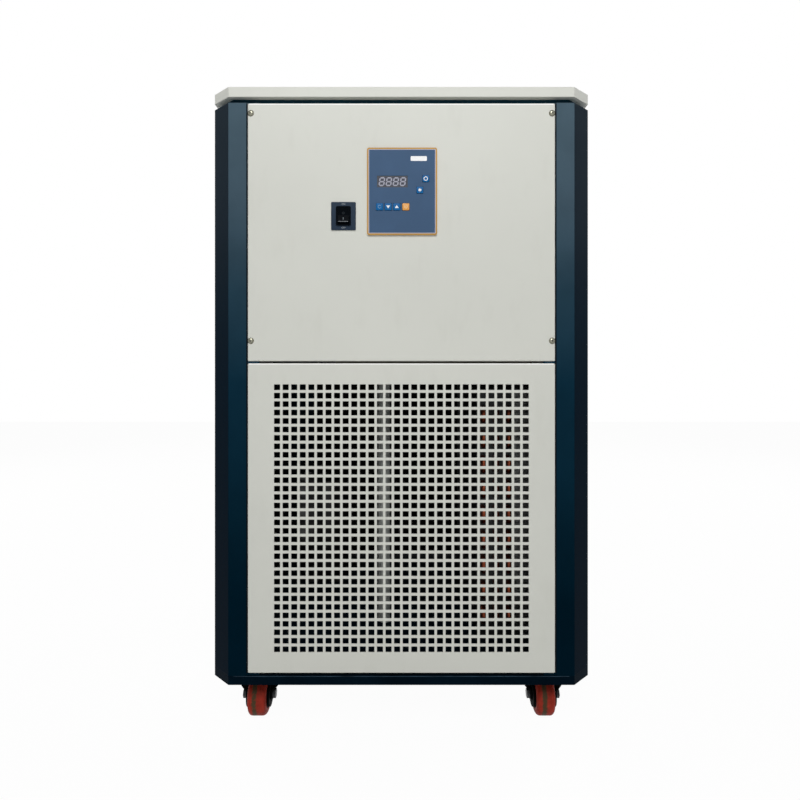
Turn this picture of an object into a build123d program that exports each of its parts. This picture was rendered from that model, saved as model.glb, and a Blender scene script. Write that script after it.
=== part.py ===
from build123d import *
import os
from math import cos, radians, sin, sqrt

os.makedirs("parts", exist_ok=True)

# The chiller stands on four casters, faces -Y, and has +X at its right as seen from the front.
# All sizes are in millimetres. The origin is on the floor, below the middle of the whole outline.

# Cabinet
body_width = 600.0
body_depth = 600.0
corner_cut = 30.0
post_face = 28.0
post_sheet = 1.5
lip_width = 20.0
panel_sheet = 1.2
panel_side_gap = 2.0
panel_flange = 15.0
flange_end_gap = 1.0
base_clearance = 78.0
base_height = 14.0
base_sheet = 1.5
lower_panel_gap = 4.3
lower_panel_height = 483.6
middle_gap = 3.1
upper_panel_height = 402.5
top_gap = 0.8
neck_height = 9.2
neck_inset = 11.5
neck_width = 30.0
cap_height = 15.5
cap_sheet = 1.5
cap_lip = 25.0

# Perforated field of the lower front panel
hole_columns = 10
hole_rows = 10
hole_width = 25.2
hole_height = 25.0
hole_pitch_x = 41.2
hole_pitch_z = 43.5

# Louvres of the side panels
louvre_count = 6
louvre_length = 300.0
louvre_height = 12.0
louvre_pitch = 48.0
louvre_rise = 80.0

# Control fascia on the upper front panel
fascia_width = 108.9
fascia_height = 135.6
fascia_thickness = 3.0
fascia_corner = 2.0
fascia_x = 1.0
fascia_rise = 264.5
fascia_border = 3.4
field_depth = 0.5
fascia_seat = 7.0
display_width = 47.0
display_height = 17.5
display_x = -14.0
display_z = 862.7
display_recess = 1.0
key_size = 11.0
small_key_size = 10.3
key_corner = 1.2
key_proud = 1.2
key_travel = 0.5
key_rim = 0.9
key_rim_thickness = 0.8
board_spacing = 9.0
board_thickness = 1.6
board_inset = 4.0
standoff_size = 5.0
switch_can_size = 6.0
slide_clearance = 0.3

# Power switch
plate_width = 38.5
plate_height = 43.7
plate_thickness = 2.0
plate_corner = 1.5
switch_x = -90.3
switch_z = 809.3
bezel_width = 23.1
bezel_height = 30.0
bezel_proud = 1.8
rocker_width = 17.0
rocker_height = 24.0
rocker_front = 4.2
rocker_valley = 2.2
rocker_back = 4.0
rocker_tilt = 10.0
pivot_proud = 1.5
housing_wall = 1.6
housing_depth = 24.0
housing_pocket = 8.5
cutout_clearance = 0.3

# Casters
wheel_diameter = 65.0
wheel_width = 30.0
wheel_chamfer = 3.0
wheel_sides = 20
caster_side_setback = 66.0
caster_setback = 90.0
caster_trail = 30.0
fork_gap = 4.0
fork_sheet = 2.5
fork_splay = 10.0
fork_crown_height = 76.0
fork_crown_width = 52.0
fork_top_length = 44.0
fork_eye_width = 20.0
fork_bend_low = 40.5
fork_bend_high = 50.0
axle_radius = 5.0
pin_sides = 12
axle_fit = 0.06
axle_square = 7.0
axle_head = 5.3
axle_hex = 13.0
caster_plate_width = 70.0
caster_plate_sheet = 2.5
kingpin_radius = 6.0
kingpin_nut = 19.0
kingpin_nut_height = 6.0
swivel_clearance = 0.3

# Tank compartment
shelf_top = 575.0
shelf_depth = 25.0
shelf_sheet = 1.5
tank_width = 300.0
tank_length = 260.0
tank_height = 320.0
tank_sheet = 1.5
tank_side_setback = 240.0
tank_setback = 330.0
foam_thickness = 30.0
mouth_width = 160.0
mouth_length = 120.0
mouth_lip = 8.0
mouth_clearance = 0.5
lid_sheet = 1.5
lid_overhang = 12.0
lid_depth = 10.0
lid_clearance = 1.0
handle_width = 80.0
handle_height = 26.0
handle_strip = 12.0
handle_sheet = 3.0

# Cooling circuit
compressor_side_setback = 130.0
compressor_setback = 430.0
compressor_diameter = 124.0
compressor_sides = 20
compressor_height = 230.0
compressor_shoulder = 16.0
compressor_foot = 12.0
compressor_foot_size = 24.0
compressor_foot_pitch = 96.0
condenser_thickness = 66.0
condenser_setback = 130.0
condenser_length = 360.0
condenser_height = 440.0
end_plate_sheet = 2.0
end_plate_margin = 3.0
bend_columns = 3
bend_rows = 9
bend_pitch = 44.0
tube_diameter = 9.5
tube_spacing = 22.0
bend_reach = 24.0
bend_corner = 9.0
fan_diameter = 300.0
fan_depth = 40.0
shroud_sheet = 2.0
fan_gap = 5.0
fan_blades = 5
blade_sheet = 2.5
blade_root = 50.0
blade_tip = 80.0
blade_pitch = 22.0
fan_hub_diameter = 80.0
fan_hub_sides = 16
fan_hub_depth = 30.0
outlet_sides = 28
fan_bore_fit = 0.06
motor_diameter = 76.0
motor_sides = 16
motor_length = 30.0
motor_side_setback = 25.0
motor_shaft_radius = 6.0
motor_arm = 16.0
motor_arm_sheet = 4.0
exchanger_gap = 10.0
exchanger_setback = 420.0
exchanger_width = 80.0
exchanger_depth = 70.0
exchanger_height = 300.0
exchanger_stub = 20.0
exchanger_stub_length = 30.0
pump_gap = 30.0
pump_setback = 180.0
pump_width = 80.0
pump_length = 150.0
pump_height = 90.0
pump_foot = 20.0
hose_x = -32.0
hose_setback = 200.0
hose_diameter = 22.0
hose_sides = 12

# Rear connections
port_hex = 30.0
port_hex_height = 10.0
port_radius = 8.0
port_bore = 5.0
bore_sides = 12
port_reach = 45.0
port_neck = 14.0
port_inside = 20.0
port_side_setback = 100.0
port_spacing = 100.0
port_z = 880.0
valve_side_setback = 120.0
valve_z = 160.0
valve_body = 26.0
valve_corner = 3.0
valve_standoff = 8.0
valve_stem_height = 6.0
valve_reach = 44.0
valve_bore = 5.0
valve_nozzle = 16.0
nozzle_sides = 18
valve_stem_radius = 4.0
lever_length = 45.0
lever_width = 12.0
lever_corner = 4.0
lever_sheet = 2.0
gland_x = 0.0
gland_z = 150.0
gland_hex = 24.0
gland_reach = 28.0
gland_bore = 5.5
gland_collar = 12.0
gland_nose = 16.0

# Places that follow from the driving sizes
rocker_radius = rocker_height / 2
rocker_tip = sqrt(rocker_radius**2 - rocker_front**2)
tilt_cos = cos(radians(rocker_tilt))
tilt_sin = sin(radians(rocker_tilt))
front_reach = pivot_proud + rocker_front * tilt_cos + rocker_tip * tilt_sin
front = (front_reach - body_depth - port_reach) / 2
middle = front + body_depth / 2
back = front + body_depth
deck_top = base_clearance + base_height
lower_panel_bottom = deck_top + lower_panel_gap
lower_panel_top = lower_panel_bottom + lower_panel_height
upper_panel_bottom = lower_panel_top + middle_gap
upper_panel_top = upper_panel_bottom + upper_panel_height
post_top = upper_panel_top + top_gap
neck_top = post_top + neck_height
cap_top = neck_top + cap_height
post_span = corner_cut + post_face
panel_width = body_width - 2 * (post_span + panel_side_gap)
side_panel_width = body_depth - 2 * (post_span + panel_side_gap)
side_panel_height = upper_panel_top - lower_panel_bottom
side_panel_middle = (upper_panel_top + lower_panel_bottom) / 2
lip_seat = panel_sheet + post_sheet
fascia_z = upper_panel_bottom + fascia_rise
caster_x = body_width / 2 - caster_side_setback
tank_x = body_width / 2 - tank_side_setback
foam_left = tank_x - tank_width / 2 - foam_thickness
exchanger_x = foam_left - exchanger_gap - exchanger_width / 2
pump_x = foam_left - pump_gap - pump_width / 2
compressor_x = compressor_side_setback - body_width / 2
motor_x = body_width / 2 - motor_side_setback - motor_length
outlet_x = motor_x - motor_arm_sheet - shroud_sheet
shroud_x = outlet_x - fan_depth
condenser_x = shroud_x - condenser_thickness / 2
port_x = port_side_setback - body_width / 2
valve_x = body_width / 2 - valve_side_setback
stem_y = back + valve_standoff + valve_body / 2


def save(piece, name):
    """Label a finished piece and write it to its own file."""
    piece.part.label = name
    export_step(piece.part, f"parts/{name}.step")


def cabinet_plan(inset=0.0):
    """Draw the cabinet's outline from above, moved inward by inset."""
    outline = Rectangle(body_width, body_depth)
    chamfer(outline.vertices(), length=corner_cut)
    if inset > 0:
        offset(amount=-inset, kind=Kind.INTERSECTION)


# Base pan, a folded tray with its open side down
with BuildPart() as base_pan:
    with BuildSketch(Plane((0, middle, base_clearance))):
        cabinet_plan()
    extrude(amount=base_height)
    with BuildSketch(Plane((0, middle, base_clearance))):
        cabinet_plan(base_sheet)
    extrude(amount=base_height - base_sheet, mode=Mode.SUBTRACT)
save(base_pan, "base_pan")


def corner_post(side_x, side_y, name):
    """Fold one corner post, with a lip behind each neighbouring panel and a plate at each end."""

    def at(from_side, from_face):
        return (side_x * (body_width / 2 - from_side), middle + side_y * (body_depth / 2 - from_face))

    outside = [
        at(post_span + lip_width, panel_sheet),
        at(post_span, panel_sheet),
        at(post_span, 0),
        at(corner_cut, 0),
        at(0, corner_cut),
        at(0, post_span),
        at(panel_sheet, post_span),
        at(panel_sheet, post_span + lip_width),
    ]
    plate = [
        at(post_span, post_sheet),
        at(corner_cut, 0),
        at(0, corner_cut),
        at(post_sheet, post_span),
        at(post_span, post_span),
    ]
    inward = Side.LEFT if side_x * side_y < 0 else Side.RIGHT
    with BuildPart() as post:
        with BuildSketch(Plane.XY.offset(deck_top)):
            with BuildLine():
                Polyline(*outside)
                offset(amount=post_sheet, side=inward)
            make_face()
        extrude(amount=post_top - deck_top)
        for height in (deck_top, post_top - post_sheet):
            with BuildSketch(Plane.XY.offset(height)):
                Polygon(*plate, align=None)
            extrude(amount=post_sheet)
    save(post, name)


for side_y, end in ((-1, "front"), (1, "rear")):
    for side_x, side in ((-1, "left"), (1, "right")):
        corner_post(side_x, side_y, f"corner_post_{end}_{side}")


# Neck frame, set back between the posts and the cap
with BuildPart() as neck_frame:
    with BuildSketch(Plane((0, middle, post_top))):
        cabinet_plan(neck_inset)
    extrude(amount=neck_height)
    with BuildSketch(Plane((0, middle, post_top))):
        cabinet_plan(neck_inset + neck_width)
    extrude(amount=neck_height, mode=Mode.SUBTRACT)
save(neck_frame, "neck_frame")

# Tank place, below the cap's mouth
tank_y = front + tank_setback
tank_bottom = shelf_top + foam_thickness
tank_top = tank_bottom + tank_height

# Top cap, a folded tray whose lips turn in under it, with the filling mouth cut through
with BuildPart() as top_cap:
    with BuildSketch(Plane((0, middle, neck_top))):
        cabinet_plan()
    extrude(amount=cap_height)
    with BuildSketch(Plane((0, middle, neck_top + cap_sheet))):
        cabinet_plan(cap_sheet)
    extrude(amount=cap_height - 2 * cap_sheet, mode=Mode.SUBTRACT)
    with BuildSketch(Plane((0, middle, neck_top))):
        cabinet_plan(cap_lip)
    extrude(amount=cap_sheet, mode=Mode.SUBTRACT)
    with BuildSketch(Plane((tank_x, tank_y, neck_top))):
        Rectangle(mouth_width + 2 * mouth_clearance, mouth_length + 2 * mouth_clearance)
    extrude(amount=cap_height, mode=Mode.SUBTRACT)
save(top_cap, "top_cap")


def panel_plane(face, height):
    """Give the outside plane of a cabinet face at a height, with local X to the right and Y up."""
    places = {
        "front": ((0, front, height), (1, 0, 0), (0, -1, 0)),
        "rear": ((0, back, height), (-1, 0, 0), (0, 1, 0)),
        "left": ((-body_width / 2, middle, height), (0, -1, 0), (-1, 0, 0)),
        "right": ((body_width / 2, middle, height), (0, 1, 0), (1, 0, 0)),
    }
    origin, x_dir, z_dir = places[face]
    return Plane(origin, x_dir=x_dir, z_dir=z_dir)


def flanged_sheet(plane, width, height):
    """Fold a flat sheet with a flange going back along its top and bottom edges."""
    flange_width = width - 2 * (lip_width - panel_side_gap + flange_end_gap)
    with BuildPart() as sheet:
        with BuildSketch(plane):
            Rectangle(width, height)
        extrude(amount=-panel_sheet)
        with BuildSketch(plane):
            with Locations((0, (height - panel_sheet) / 2), (0, (panel_sheet - height) / 2)):
                Rectangle(flange_width, panel_sheet)
        extrude(amount=-panel_flange)
    return sheet.part


# Upper front panel, open behind the control fascia and behind the power switch
upper_middle = upper_panel_bottom + upper_panel_height / 2
housing_width = rocker_width + 2 * (slide_clearance + housing_wall)
housing_height = rocker_height + 2 * (slide_clearance + housing_wall)
upper_plane = panel_plane("front", upper_middle)
upper_sheet = flanged_sheet(upper_plane, panel_width, upper_panel_height)
with BuildPart() as upper_front_panel:
    add(upper_sheet)
    with BuildSketch(upper_plane):
        with Locations((fascia_x, fascia_z - upper_middle)):
            Rectangle(fascia_width - 2 * fascia_seat, fascia_height - 2 * fascia_seat)
        with Locations((switch_x, switch_z - upper_middle)):
            Rectangle(housing_width + 2 * cutout_clearance, housing_height + 2 * cutout_clearance)
    extrude(amount=-panel_sheet, mode=Mode.SUBTRACT)
save(upper_front_panel, "upper_front_panel")

# Lower front panel with its field of square holes
lower_plane = panel_plane("front", lower_panel_bottom + lower_panel_height / 2)
lower_sheet = flanged_sheet(lower_plane, panel_width, lower_panel_height)
with BuildPart() as lower_grille_panel:
    add(lower_sheet)
    with BuildSketch(lower_plane):
        with GridLocations(hole_pitch_x, hole_pitch_z, hole_columns, hole_rows):
            Rectangle(hole_width, hole_height)
    extrude(amount=-panel_sheet, mode=Mode.SUBTRACT)
save(lower_grille_panel, "lower_grille_panel")

# Side panels with louvre slots beside the condenser and the compressor
louvre_middle = louvre_rise + (louvre_count - 1) * louvre_pitch / 2 - side_panel_height / 2
for face in ("left", "right"):
    side_plane = panel_plane(face, side_panel_middle)
    side_sheet = flanged_sheet(side_plane, side_panel_width, side_panel_height)
    with BuildPart() as side_panel:
        add(side_sheet)
        with BuildSketch(side_plane):
            with Locations((0, louvre_middle)):
                with GridLocations(louvre_length, louvre_pitch, 1, louvre_count):
                    Rectangle(louvre_length, louvre_height)
        extrude(amount=-panel_sheet, mode=Mode.SUBTRACT)
    save(side_panel, f"{face}_side_panel")

# Rear panel with the square holes that keep the hose ports, drain valve and cable gland from turning
port_places = ((port_x, port_z), (port_x + port_spacing, port_z))
rear_holes = [*port_places, (valve_x, valve_z), (gland_x, gland_z)]
rear_plane = panel_plane("rear", side_panel_middle)
rear_sheet = flanged_sheet(rear_plane, panel_width, side_panel_height)
with BuildPart() as rear_panel:
    add(rear_sheet)
    with BuildSketch(rear_plane):
        with Locations(*[(-x, z - side_panel_middle) for x, z in rear_holes]):
            Rectangle(port_neck + 2 * cutout_clearance, port_neck + 2 * cutout_clearance)
    extrude(amount=-panel_sheet, mode=Mode.SUBTRACT)
save(rear_panel, "rear_panel")

# Tank shelf, a tray held between the lips of the four posts
with BuildPart() as tank_shelf:
    with BuildSketch(Plane((0, middle, shelf_top))):
        cabinet_plan(lip_seat)
    extrude(amount=-shelf_depth)
    with BuildSketch(Plane((0, middle, shelf_top - shelf_sheet))):
        cabinet_plan(lip_seat + shelf_sheet)
    extrude(amount=-(shelf_depth - shelf_sheet), mode=Mode.SUBTRACT)
save(tank_shelf, "tank_shelf")

# Control fascia: a raised border round a field with a window and six key holes
keys = {
    "set_key": (-33.9, 823.2, key_size),
    "down_key": (-20.6, 823.2, key_size),
    "up_key": (-7.3, 823.2, key_size),
    "run_key": (6.9, 823.2, key_size),
    "pump_key": (37.9, 866.9, small_key_size),
    "cooling_key": (28.7, 849.3, small_key_size),
}
fascia_face = Plane((fascia_x, front - fascia_thickness, fascia_z), x_dir=(1, 0, 0), z_dir=(0, -1, 0))
with BuildPart() as control_fascia:
    with BuildSketch(fascia_face) as fascia_outline:
        Rectangle(fascia_width, fascia_height)
        chamfer(fascia_outline.vertices(), length=fascia_corner)
    extrude(amount=-fascia_thickness)
    with BuildSketch(fascia_face):
        Rectangle(fascia_width - 2 * fascia_border, fascia_height - 2 * fascia_border)
    extrude(amount=-field_depth, mode=Mode.SUBTRACT)
    with BuildSketch(fascia_face):
        with Locations((display_x - fascia_x, display_z - fascia_z)):
            Rectangle(display_width + 2 * slide_clearance, display_height + 2 * slide_clearance)
        for key_x, key_z, size in keys.values():
            with Locations((key_x - fascia_x, key_z - fascia_z)):
                Rectangle(size + 2 * slide_clearance, size + 2 * slide_clearance)
    extrude(amount=-fascia_thickness, mode=Mode.SUBTRACT)
save(control_fascia, "control_fascia")

# Control board behind the fascia, on four standoffs, with a tactile switch behind each key
board_front = front + board_spacing
board_plane = Plane((fascia_x, board_front, fascia_z), x_dir=(1, 0, 0), z_dir=(0, -1, 0))
board_width = fascia_width - 2 * (fascia_seat + board_inset)
board_height = fascia_height - 2 * (fascia_seat + board_inset)
key_back = front + key_rim_thickness
can_height = board_spacing - key_rim_thickness - key_travel - slide_clearance
with BuildPart() as control_board:
    with BuildSketch(board_plane):
        Rectangle(board_width, board_height)
    extrude(amount=-board_thickness)
    with BuildSketch(board_plane):
        with GridLocations(board_width - standoff_size, board_height - standoff_size, 2, 2):
            Rectangle(standoff_size, standoff_size)
    extrude(amount=board_spacing)
    with BuildSketch(board_plane):
        for key_x, key_z, size in keys.values():
            with Locations((key_x - fascia_x, key_z - fascia_z)):
                Rectangle(switch_can_size, switch_can_size)
    extrude(amount=can_height)
save(control_board, "control_board")

# Display module between the board and the fascia's window
with BuildPart() as display_module:
    with BuildSketch(Plane((display_x, board_front, display_z), x_dir=(1, 0, 0), z_dir=(0, -1, 0))):
        Rectangle(display_width, display_height)
    extrude(amount=board_spacing + fascia_thickness - display_recess)
save(display_module, "display_module")

# Keys, each with a rim behind the fascia that keeps it in its hole
for name, (key_x, key_z, size) in keys.items():
    with BuildPart() as key:
        with BuildSketch(Plane((key_x, front, key_z), x_dir=(1, 0, 0), z_dir=(0, -1, 0))) as cap_outline:
            Rectangle(size, size)
            chamfer(cap_outline.vertices(), length=key_corner)
        extrude(amount=fascia_thickness + key_proud)
        with BuildSketch(Plane((key_x, key_back, key_z), x_dir=(1, 0, 0), z_dir=(0, -1, 0))):
            Rectangle(size + 2 * key_rim, size + 2 * key_rim)
        extrude(amount=key_rim_thickness - slide_clearance)
        with BuildSketch(Plane((key_x, key_back, key_z), x_dir=(1, 0, 0), z_dir=(0, -1, 0))):
            Rectangle(size - 2 * key_corner, size - 2 * key_corner)
        extrude(amount=key_rim_thickness)
    save(key, name)

# Switch plate with its opening for the rocker housing
switch_face = Plane((switch_x, front - plate_thickness, switch_z), x_dir=(1, 0, 0), z_dir=(0, -1, 0))
with BuildPart() as switch_plate:
    with BuildSketch(switch_face) as plate_outline:
        Rectangle(plate_width, plate_height)
        chamfer(plate_outline.vertices(), length=plate_corner)
    extrude(amount=-plate_thickness)
    with BuildSketch(switch_face):
        Rectangle(housing_width + 2 * cutout_clearance, housing_height + 2 * cutout_clearance)
    extrude(amount=-plate_thickness, mode=Mode.SUBTRACT)
save(switch_plate, "switch_plate")

# Rocker housing: a bezel in front of the plate, a body behind it and a pocket for the rocker
pivot_y = front - pivot_proud
with BuildPart() as rocker_housing:
    with BuildSketch(switch_face) as bezel_outline:
        Rectangle(bezel_width, bezel_height)
        chamfer(bezel_outline.vertices(), length=plate_corner)
    extrude(amount=bezel_proud)
    with BuildSketch(switch_face):
        Rectangle(housing_width, housing_height)
    extrude(amount=-housing_depth)
    with BuildSketch(switch_face.offset(bezel_proud)):
        Rectangle(rocker_width + 2 * slide_clearance, rocker_height + 2 * slide_clearance)
    extrude(amount=-(bezel_proud + plate_thickness - pivot_proud + housing_pocket), mode=Mode.SUBTRACT)
save(rocker_housing, "rocker_housing")

# Rocker, its two faces meeting in a shallow valley, tilted with its lower end out
rocker_heel = sqrt(rocker_radius**2 - rocker_back**2)
rocker_plane = Plane((switch_x, pivot_y, switch_z), x_dir=(0, -tilt_cos, tilt_sin), z_dir=(1, 0, 0))
with BuildPart() as rocker:
    with BuildSketch(rocker_plane):
        with BuildLine():
            Polyline((rocker_front, -rocker_tip), (rocker_valley, 0), (rocker_front, rocker_tip))
            ThreePointArc((rocker_front, rocker_tip), (0, rocker_radius), (-rocker_back, rocker_heel))
            Line((-rocker_back, rocker_heel), (-rocker_back, -rocker_heel))
            ThreePointArc((-rocker_back, -rocker_heel), (0, -rocker_radius), (rocker_front, -rocker_tip))
        make_face()
    extrude(amount=rocker_width / 2, both=True)
save(rocker, "rocker")

# Casters
axle_height = wheel_diameter / 2
wheel_side = wheel_width / 2
fork_inside = wheel_side + fork_gap
fork_outside = fork_inside + fork_sheet
raceway_top = deck_top - base_sheet - caster_plate_sheet
crown_top = raceway_top - swivel_clearance
nut_top = fork_crown_height - fork_sheet - swivel_clearance
caster_places = {
    "front_left": (-caster_x, front + caster_setback),
    "front_right": (caster_x, front + caster_setback),
    "rear_left": (-caster_x, back - caster_setback),
    "rear_right": (caster_x, back - caster_setback),
}

# Caster plates with their kingpins and nuts, bolted up under the base pan
with BuildPart() as caster_plates:
    for x, y in caster_places.values():
        with BuildSketch(Plane((x, y, raceway_top))):
            Rectangle(caster_plate_width, caster_plate_width)
        extrude(amount=caster_plate_sheet)
        with BuildSketch(Plane((x, y, raceway_top))):
            RegularPolygon(kingpin_radius, pin_sides)
        extrude(amount=nut_top - raceway_top)
        with BuildSketch(Plane((x, y, nut_top))):
            RegularPolygon(kingpin_nut / 2, 6, major_radius=False)
        extrude(amount=-kingpin_nut_height)
save(caster_plates, "caster_plates")


def caster_fork(x, y, name):
    """Press a fork from sheet: splayed legs down to the axle and a crown with cut corners on top."""
    fork_top = fork_inside + fork_splay
    with BuildPart() as fork:
        with BuildSketch(Plane((x, y, 0), x_dir=(1, 0, 0), z_dir=(0, -1, 0))):
            with BuildLine():
                Polyline(
                    (-fork_inside, axle_height - fork_eye_width / 2),
                    (-fork_inside, fork_bend_low),
                    (-fork_top, fork_bend_high),
                    (-fork_top, fork_crown_height - fork_sheet),
                    (fork_top, fork_crown_height - fork_sheet),
                    (fork_top, fork_bend_high),
                    (fork_inside, fork_bend_low),
                    (fork_inside, axle_height - fork_eye_width / 2),
                )
                offset(amount=fork_sheet, side=Side.LEFT, kind=Kind.INTERSECTION)
            make_face()
        extrude(amount=body_depth, both=True)
        with BuildSketch(Plane((x, y, 0), x_dir=(0, 1, 0), z_dir=(1, 0, 0))):
            with Locations((-caster_trail, axle_height)):
                RegularPolygon(fork_eye_width / 2, 8, major_radius=False, rotation=22.5)
            with Locations((0, fork_crown_height - fork_sheet)):
                Rectangle(fork_top_length, 2 * fork_sheet)
            make_hull()
        extrude(amount=body_width, both=True, mode=Mode.INTERSECT)
        with BuildSketch(Plane((x, y, fork_crown_height))):
            RegularPolygon(fork_crown_width / 2, 8, major_radius=False, rotation=22.5)
        extrude(amount=crown_top - fork_crown_height)
        with BuildSketch(Plane((x, y, crown_top))):
            Circle(kingpin_radius + swivel_clearance)
        extrude(amount=nut_top - crown_top, mode=Mode.SUBTRACT)
        with BuildSketch(Plane((x, y - caster_trail, axle_height), x_dir=(0, 1, 0), z_dir=(1, 0, 0))):
            Rectangle(axle_square, axle_square)
        extrude(amount=fork_outside, both=True, mode=Mode.SUBTRACT)
    save(fork, name)


def caster_axle(x, y, name):
    """Turn the axle bolt, with square ends in the fork's legs and a head and nut outside them."""
    across = Plane((x, y - caster_trail, axle_height), x_dir=(0, 1, 0), z_dir=(1, 0, 0))
    with BuildPart() as axle:
        with BuildSketch(across):
            RegularPolygon(axle_radius, pin_sides)
        extrude(amount=fork_inside, both=True)
        with BuildSketch(across):
            Rectangle(axle_square, axle_square)
        extrude(amount=fork_outside, both=True)
        for side in (-1, 1):
            with BuildSketch(across.offset(side * fork_outside)):
                RegularPolygon(axle_hex / 2, 6, major_radius=False)
            extrude(amount=side * axle_head)
    save(axle, name)


def caster_wheel(x, y, name):
    """Mould the wheel with many small flats round it, bevelled rims and a round bore for the axle."""
    across = Plane((x, y - caster_trail, axle_height), x_dir=(0, 1, 0), z_dir=(1, 0, 0))
    with BuildPart() as wheel:
        with BuildSketch(across):
            RegularPolygon(axle_height, wheel_sides, major_radius=False)
        extrude(amount=wheel_side, both=True)
        rims = wheel.faces().filter_by(Axis.X).edges()
        chamfer(rims, length=wheel_chamfer)
        with BuildSketch(across):
            Circle(axle_radius + axle_fit)
        extrude(amount=wheel_side, both=True, mode=Mode.SUBTRACT)
    save(wheel, name)


for corner, (x, y) in caster_places.items():
    caster_fork(x, y, f"caster_fork_{corner}")
    caster_axle(x, y, f"caster_axle_{corner}")
    caster_wheel(x, y, f"caster_wheel_{corner}")

# Tank, a folded box with a square neck that hangs its lip on the cap
with BuildPart() as tank:
    with BuildSketch(Plane((tank_x, tank_y, tank_bottom))):
        Rectangle(tank_width, tank_length)
    extrude(amount=tank_height)
    with BuildSketch(Plane((tank_x, tank_y, tank_top))):
        Rectangle(mouth_width, mouth_length)
    extrude(amount=cap_top - tank_top)
    with BuildSketch(Plane((tank_x, tank_y, cap_top))):
        Rectangle(mouth_width + 2 * mouth_lip, mouth_length + 2 * mouth_lip)
    extrude(amount=tank_sheet)
    with BuildSketch(Plane((tank_x, tank_y, tank_bottom + tank_sheet))):
        Rectangle(tank_width - 2 * tank_sheet, tank_length - 2 * tank_sheet)
    extrude(amount=tank_height - 2 * tank_sheet, mode=Mode.SUBTRACT)
    with BuildSketch(Plane((tank_x, tank_y, tank_top - tank_sheet))):
        Rectangle(mouth_width - 2 * tank_sheet, mouth_length - 2 * tank_sheet)
    extrude(amount=cap_top - tank_top + 2 * tank_sheet, mode=Mode.SUBTRACT)
save(tank, "tank")

# Foam jacket round the tank, open for the neck
with BuildPart() as tank_insulation:
    with BuildSketch(Plane((tank_x, tank_y, shelf_top))):
        Rectangle(tank_width + 2 * foam_thickness, tank_length + 2 * foam_thickness)
    extrude(amount=tank_height + 2 * foam_thickness)
    with BuildSketch(Plane((tank_x, tank_y, tank_bottom))):
        Rectangle(tank_width, tank_length)
    extrude(amount=tank_height, mode=Mode.SUBTRACT)
    with BuildSketch(Plane((tank_x, tank_y, tank_top))):
        Rectangle(mouth_width, mouth_length)
    extrude(amount=foam_thickness, mode=Mode.SUBTRACT)
save(tank_insulation, "tank_insulation")

# Lid, a folded cover with a spigot that drops into the mouth
lid_bottom = cap_top + tank_sheet
spigot_width = mouth_width - 2 * (tank_sheet + lid_clearance)
spigot_length = mouth_length - 2 * (tank_sheet + lid_clearance)
with BuildPart() as tank_lid:
    with BuildSketch(Plane((tank_x, tank_y, lid_bottom))):
        Rectangle(mouth_width + 2 * lid_overhang, mouth_length + 2 * lid_overhang)
    extrude(amount=lid_sheet)
    with BuildSketch(Plane((tank_x, tank_y, lid_bottom))):
        Rectangle(spigot_width, spigot_length)
        Rectangle(spigot_width - 2 * lid_sheet, spigot_length - 2 * lid_sheet, mode=Mode.SUBTRACT)
    extrude(amount=-lid_depth)
save(tank_lid, "tank_lid")

# Lid handle, a strip bent into a bow
lid_top = lid_bottom + lid_sheet
with BuildPart() as lid_handle:
    with BuildSketch(Plane((tank_x, tank_y, lid_top), x_dir=(1, 0, 0), z_dir=(0, -1, 0))):
        with Locations((0, handle_height / 2)):
            Rectangle(handle_width, handle_height)
        with Locations((0, (handle_height - handle_sheet) / 2)):
            Rectangle(handle_width - 2 * handle_sheet, handle_height - handle_sheet, mode=Mode.SUBTRACT)
    extrude(amount=handle_strip / 2, both=True)
save(lid_handle, "lid_handle")

# Compressor shell with sloped shoulders, its round form made of many flats
compressor_y = front + compressor_setback
shell_bottom = deck_top + compressor_foot
with BuildPart() as compressor:
    with BuildSketch(Plane((compressor_x, compressor_y, shell_bottom))):
        RegularPolygon(compressor_diameter / 2, compressor_sides, major_radius=False)
    extrude(amount=compressor_height)
    chamfer(compressor.faces().filter_by(Axis.Z).edges(), length=compressor_shoulder)
save(compressor, "compressor")

# Compressor feet, rubber blocks between the shell and the deck
with BuildPart() as compressor_feet:
    with BuildSketch(Plane((compressor_x, compressor_y, deck_top))):
        with GridLocations(compressor_foot_pitch / 2, compressor_foot_pitch / 2, 2, 2):
            Rectangle(compressor_foot_size, compressor_foot_size)
    extrude(amount=compressor_foot)
save(compressor_feet, "compressor_feet")

# Condenser: a fin block between two end plates that stand a little proud of it
condenser_y = front + condenser_setback + condenser_length / 2
condenser_front = front + condenser_setback
with BuildPart() as condenser_fins:
    with BuildSketch(Plane((condenser_x, condenser_y, deck_top))):
        Rectangle(condenser_thickness - 2 * end_plate_margin, condenser_length)
    extrude(amount=condenser_height - end_plate_margin)
    with BuildSketch(Plane((condenser_x, condenser_y, deck_top))):
        with GridLocations(0, condenser_length - end_plate_sheet, 1, 2):
            Rectangle(condenser_thickness, end_plate_sheet)
    extrude(amount=condenser_height)
save(condenser_fins, "condenser_fins")

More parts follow.
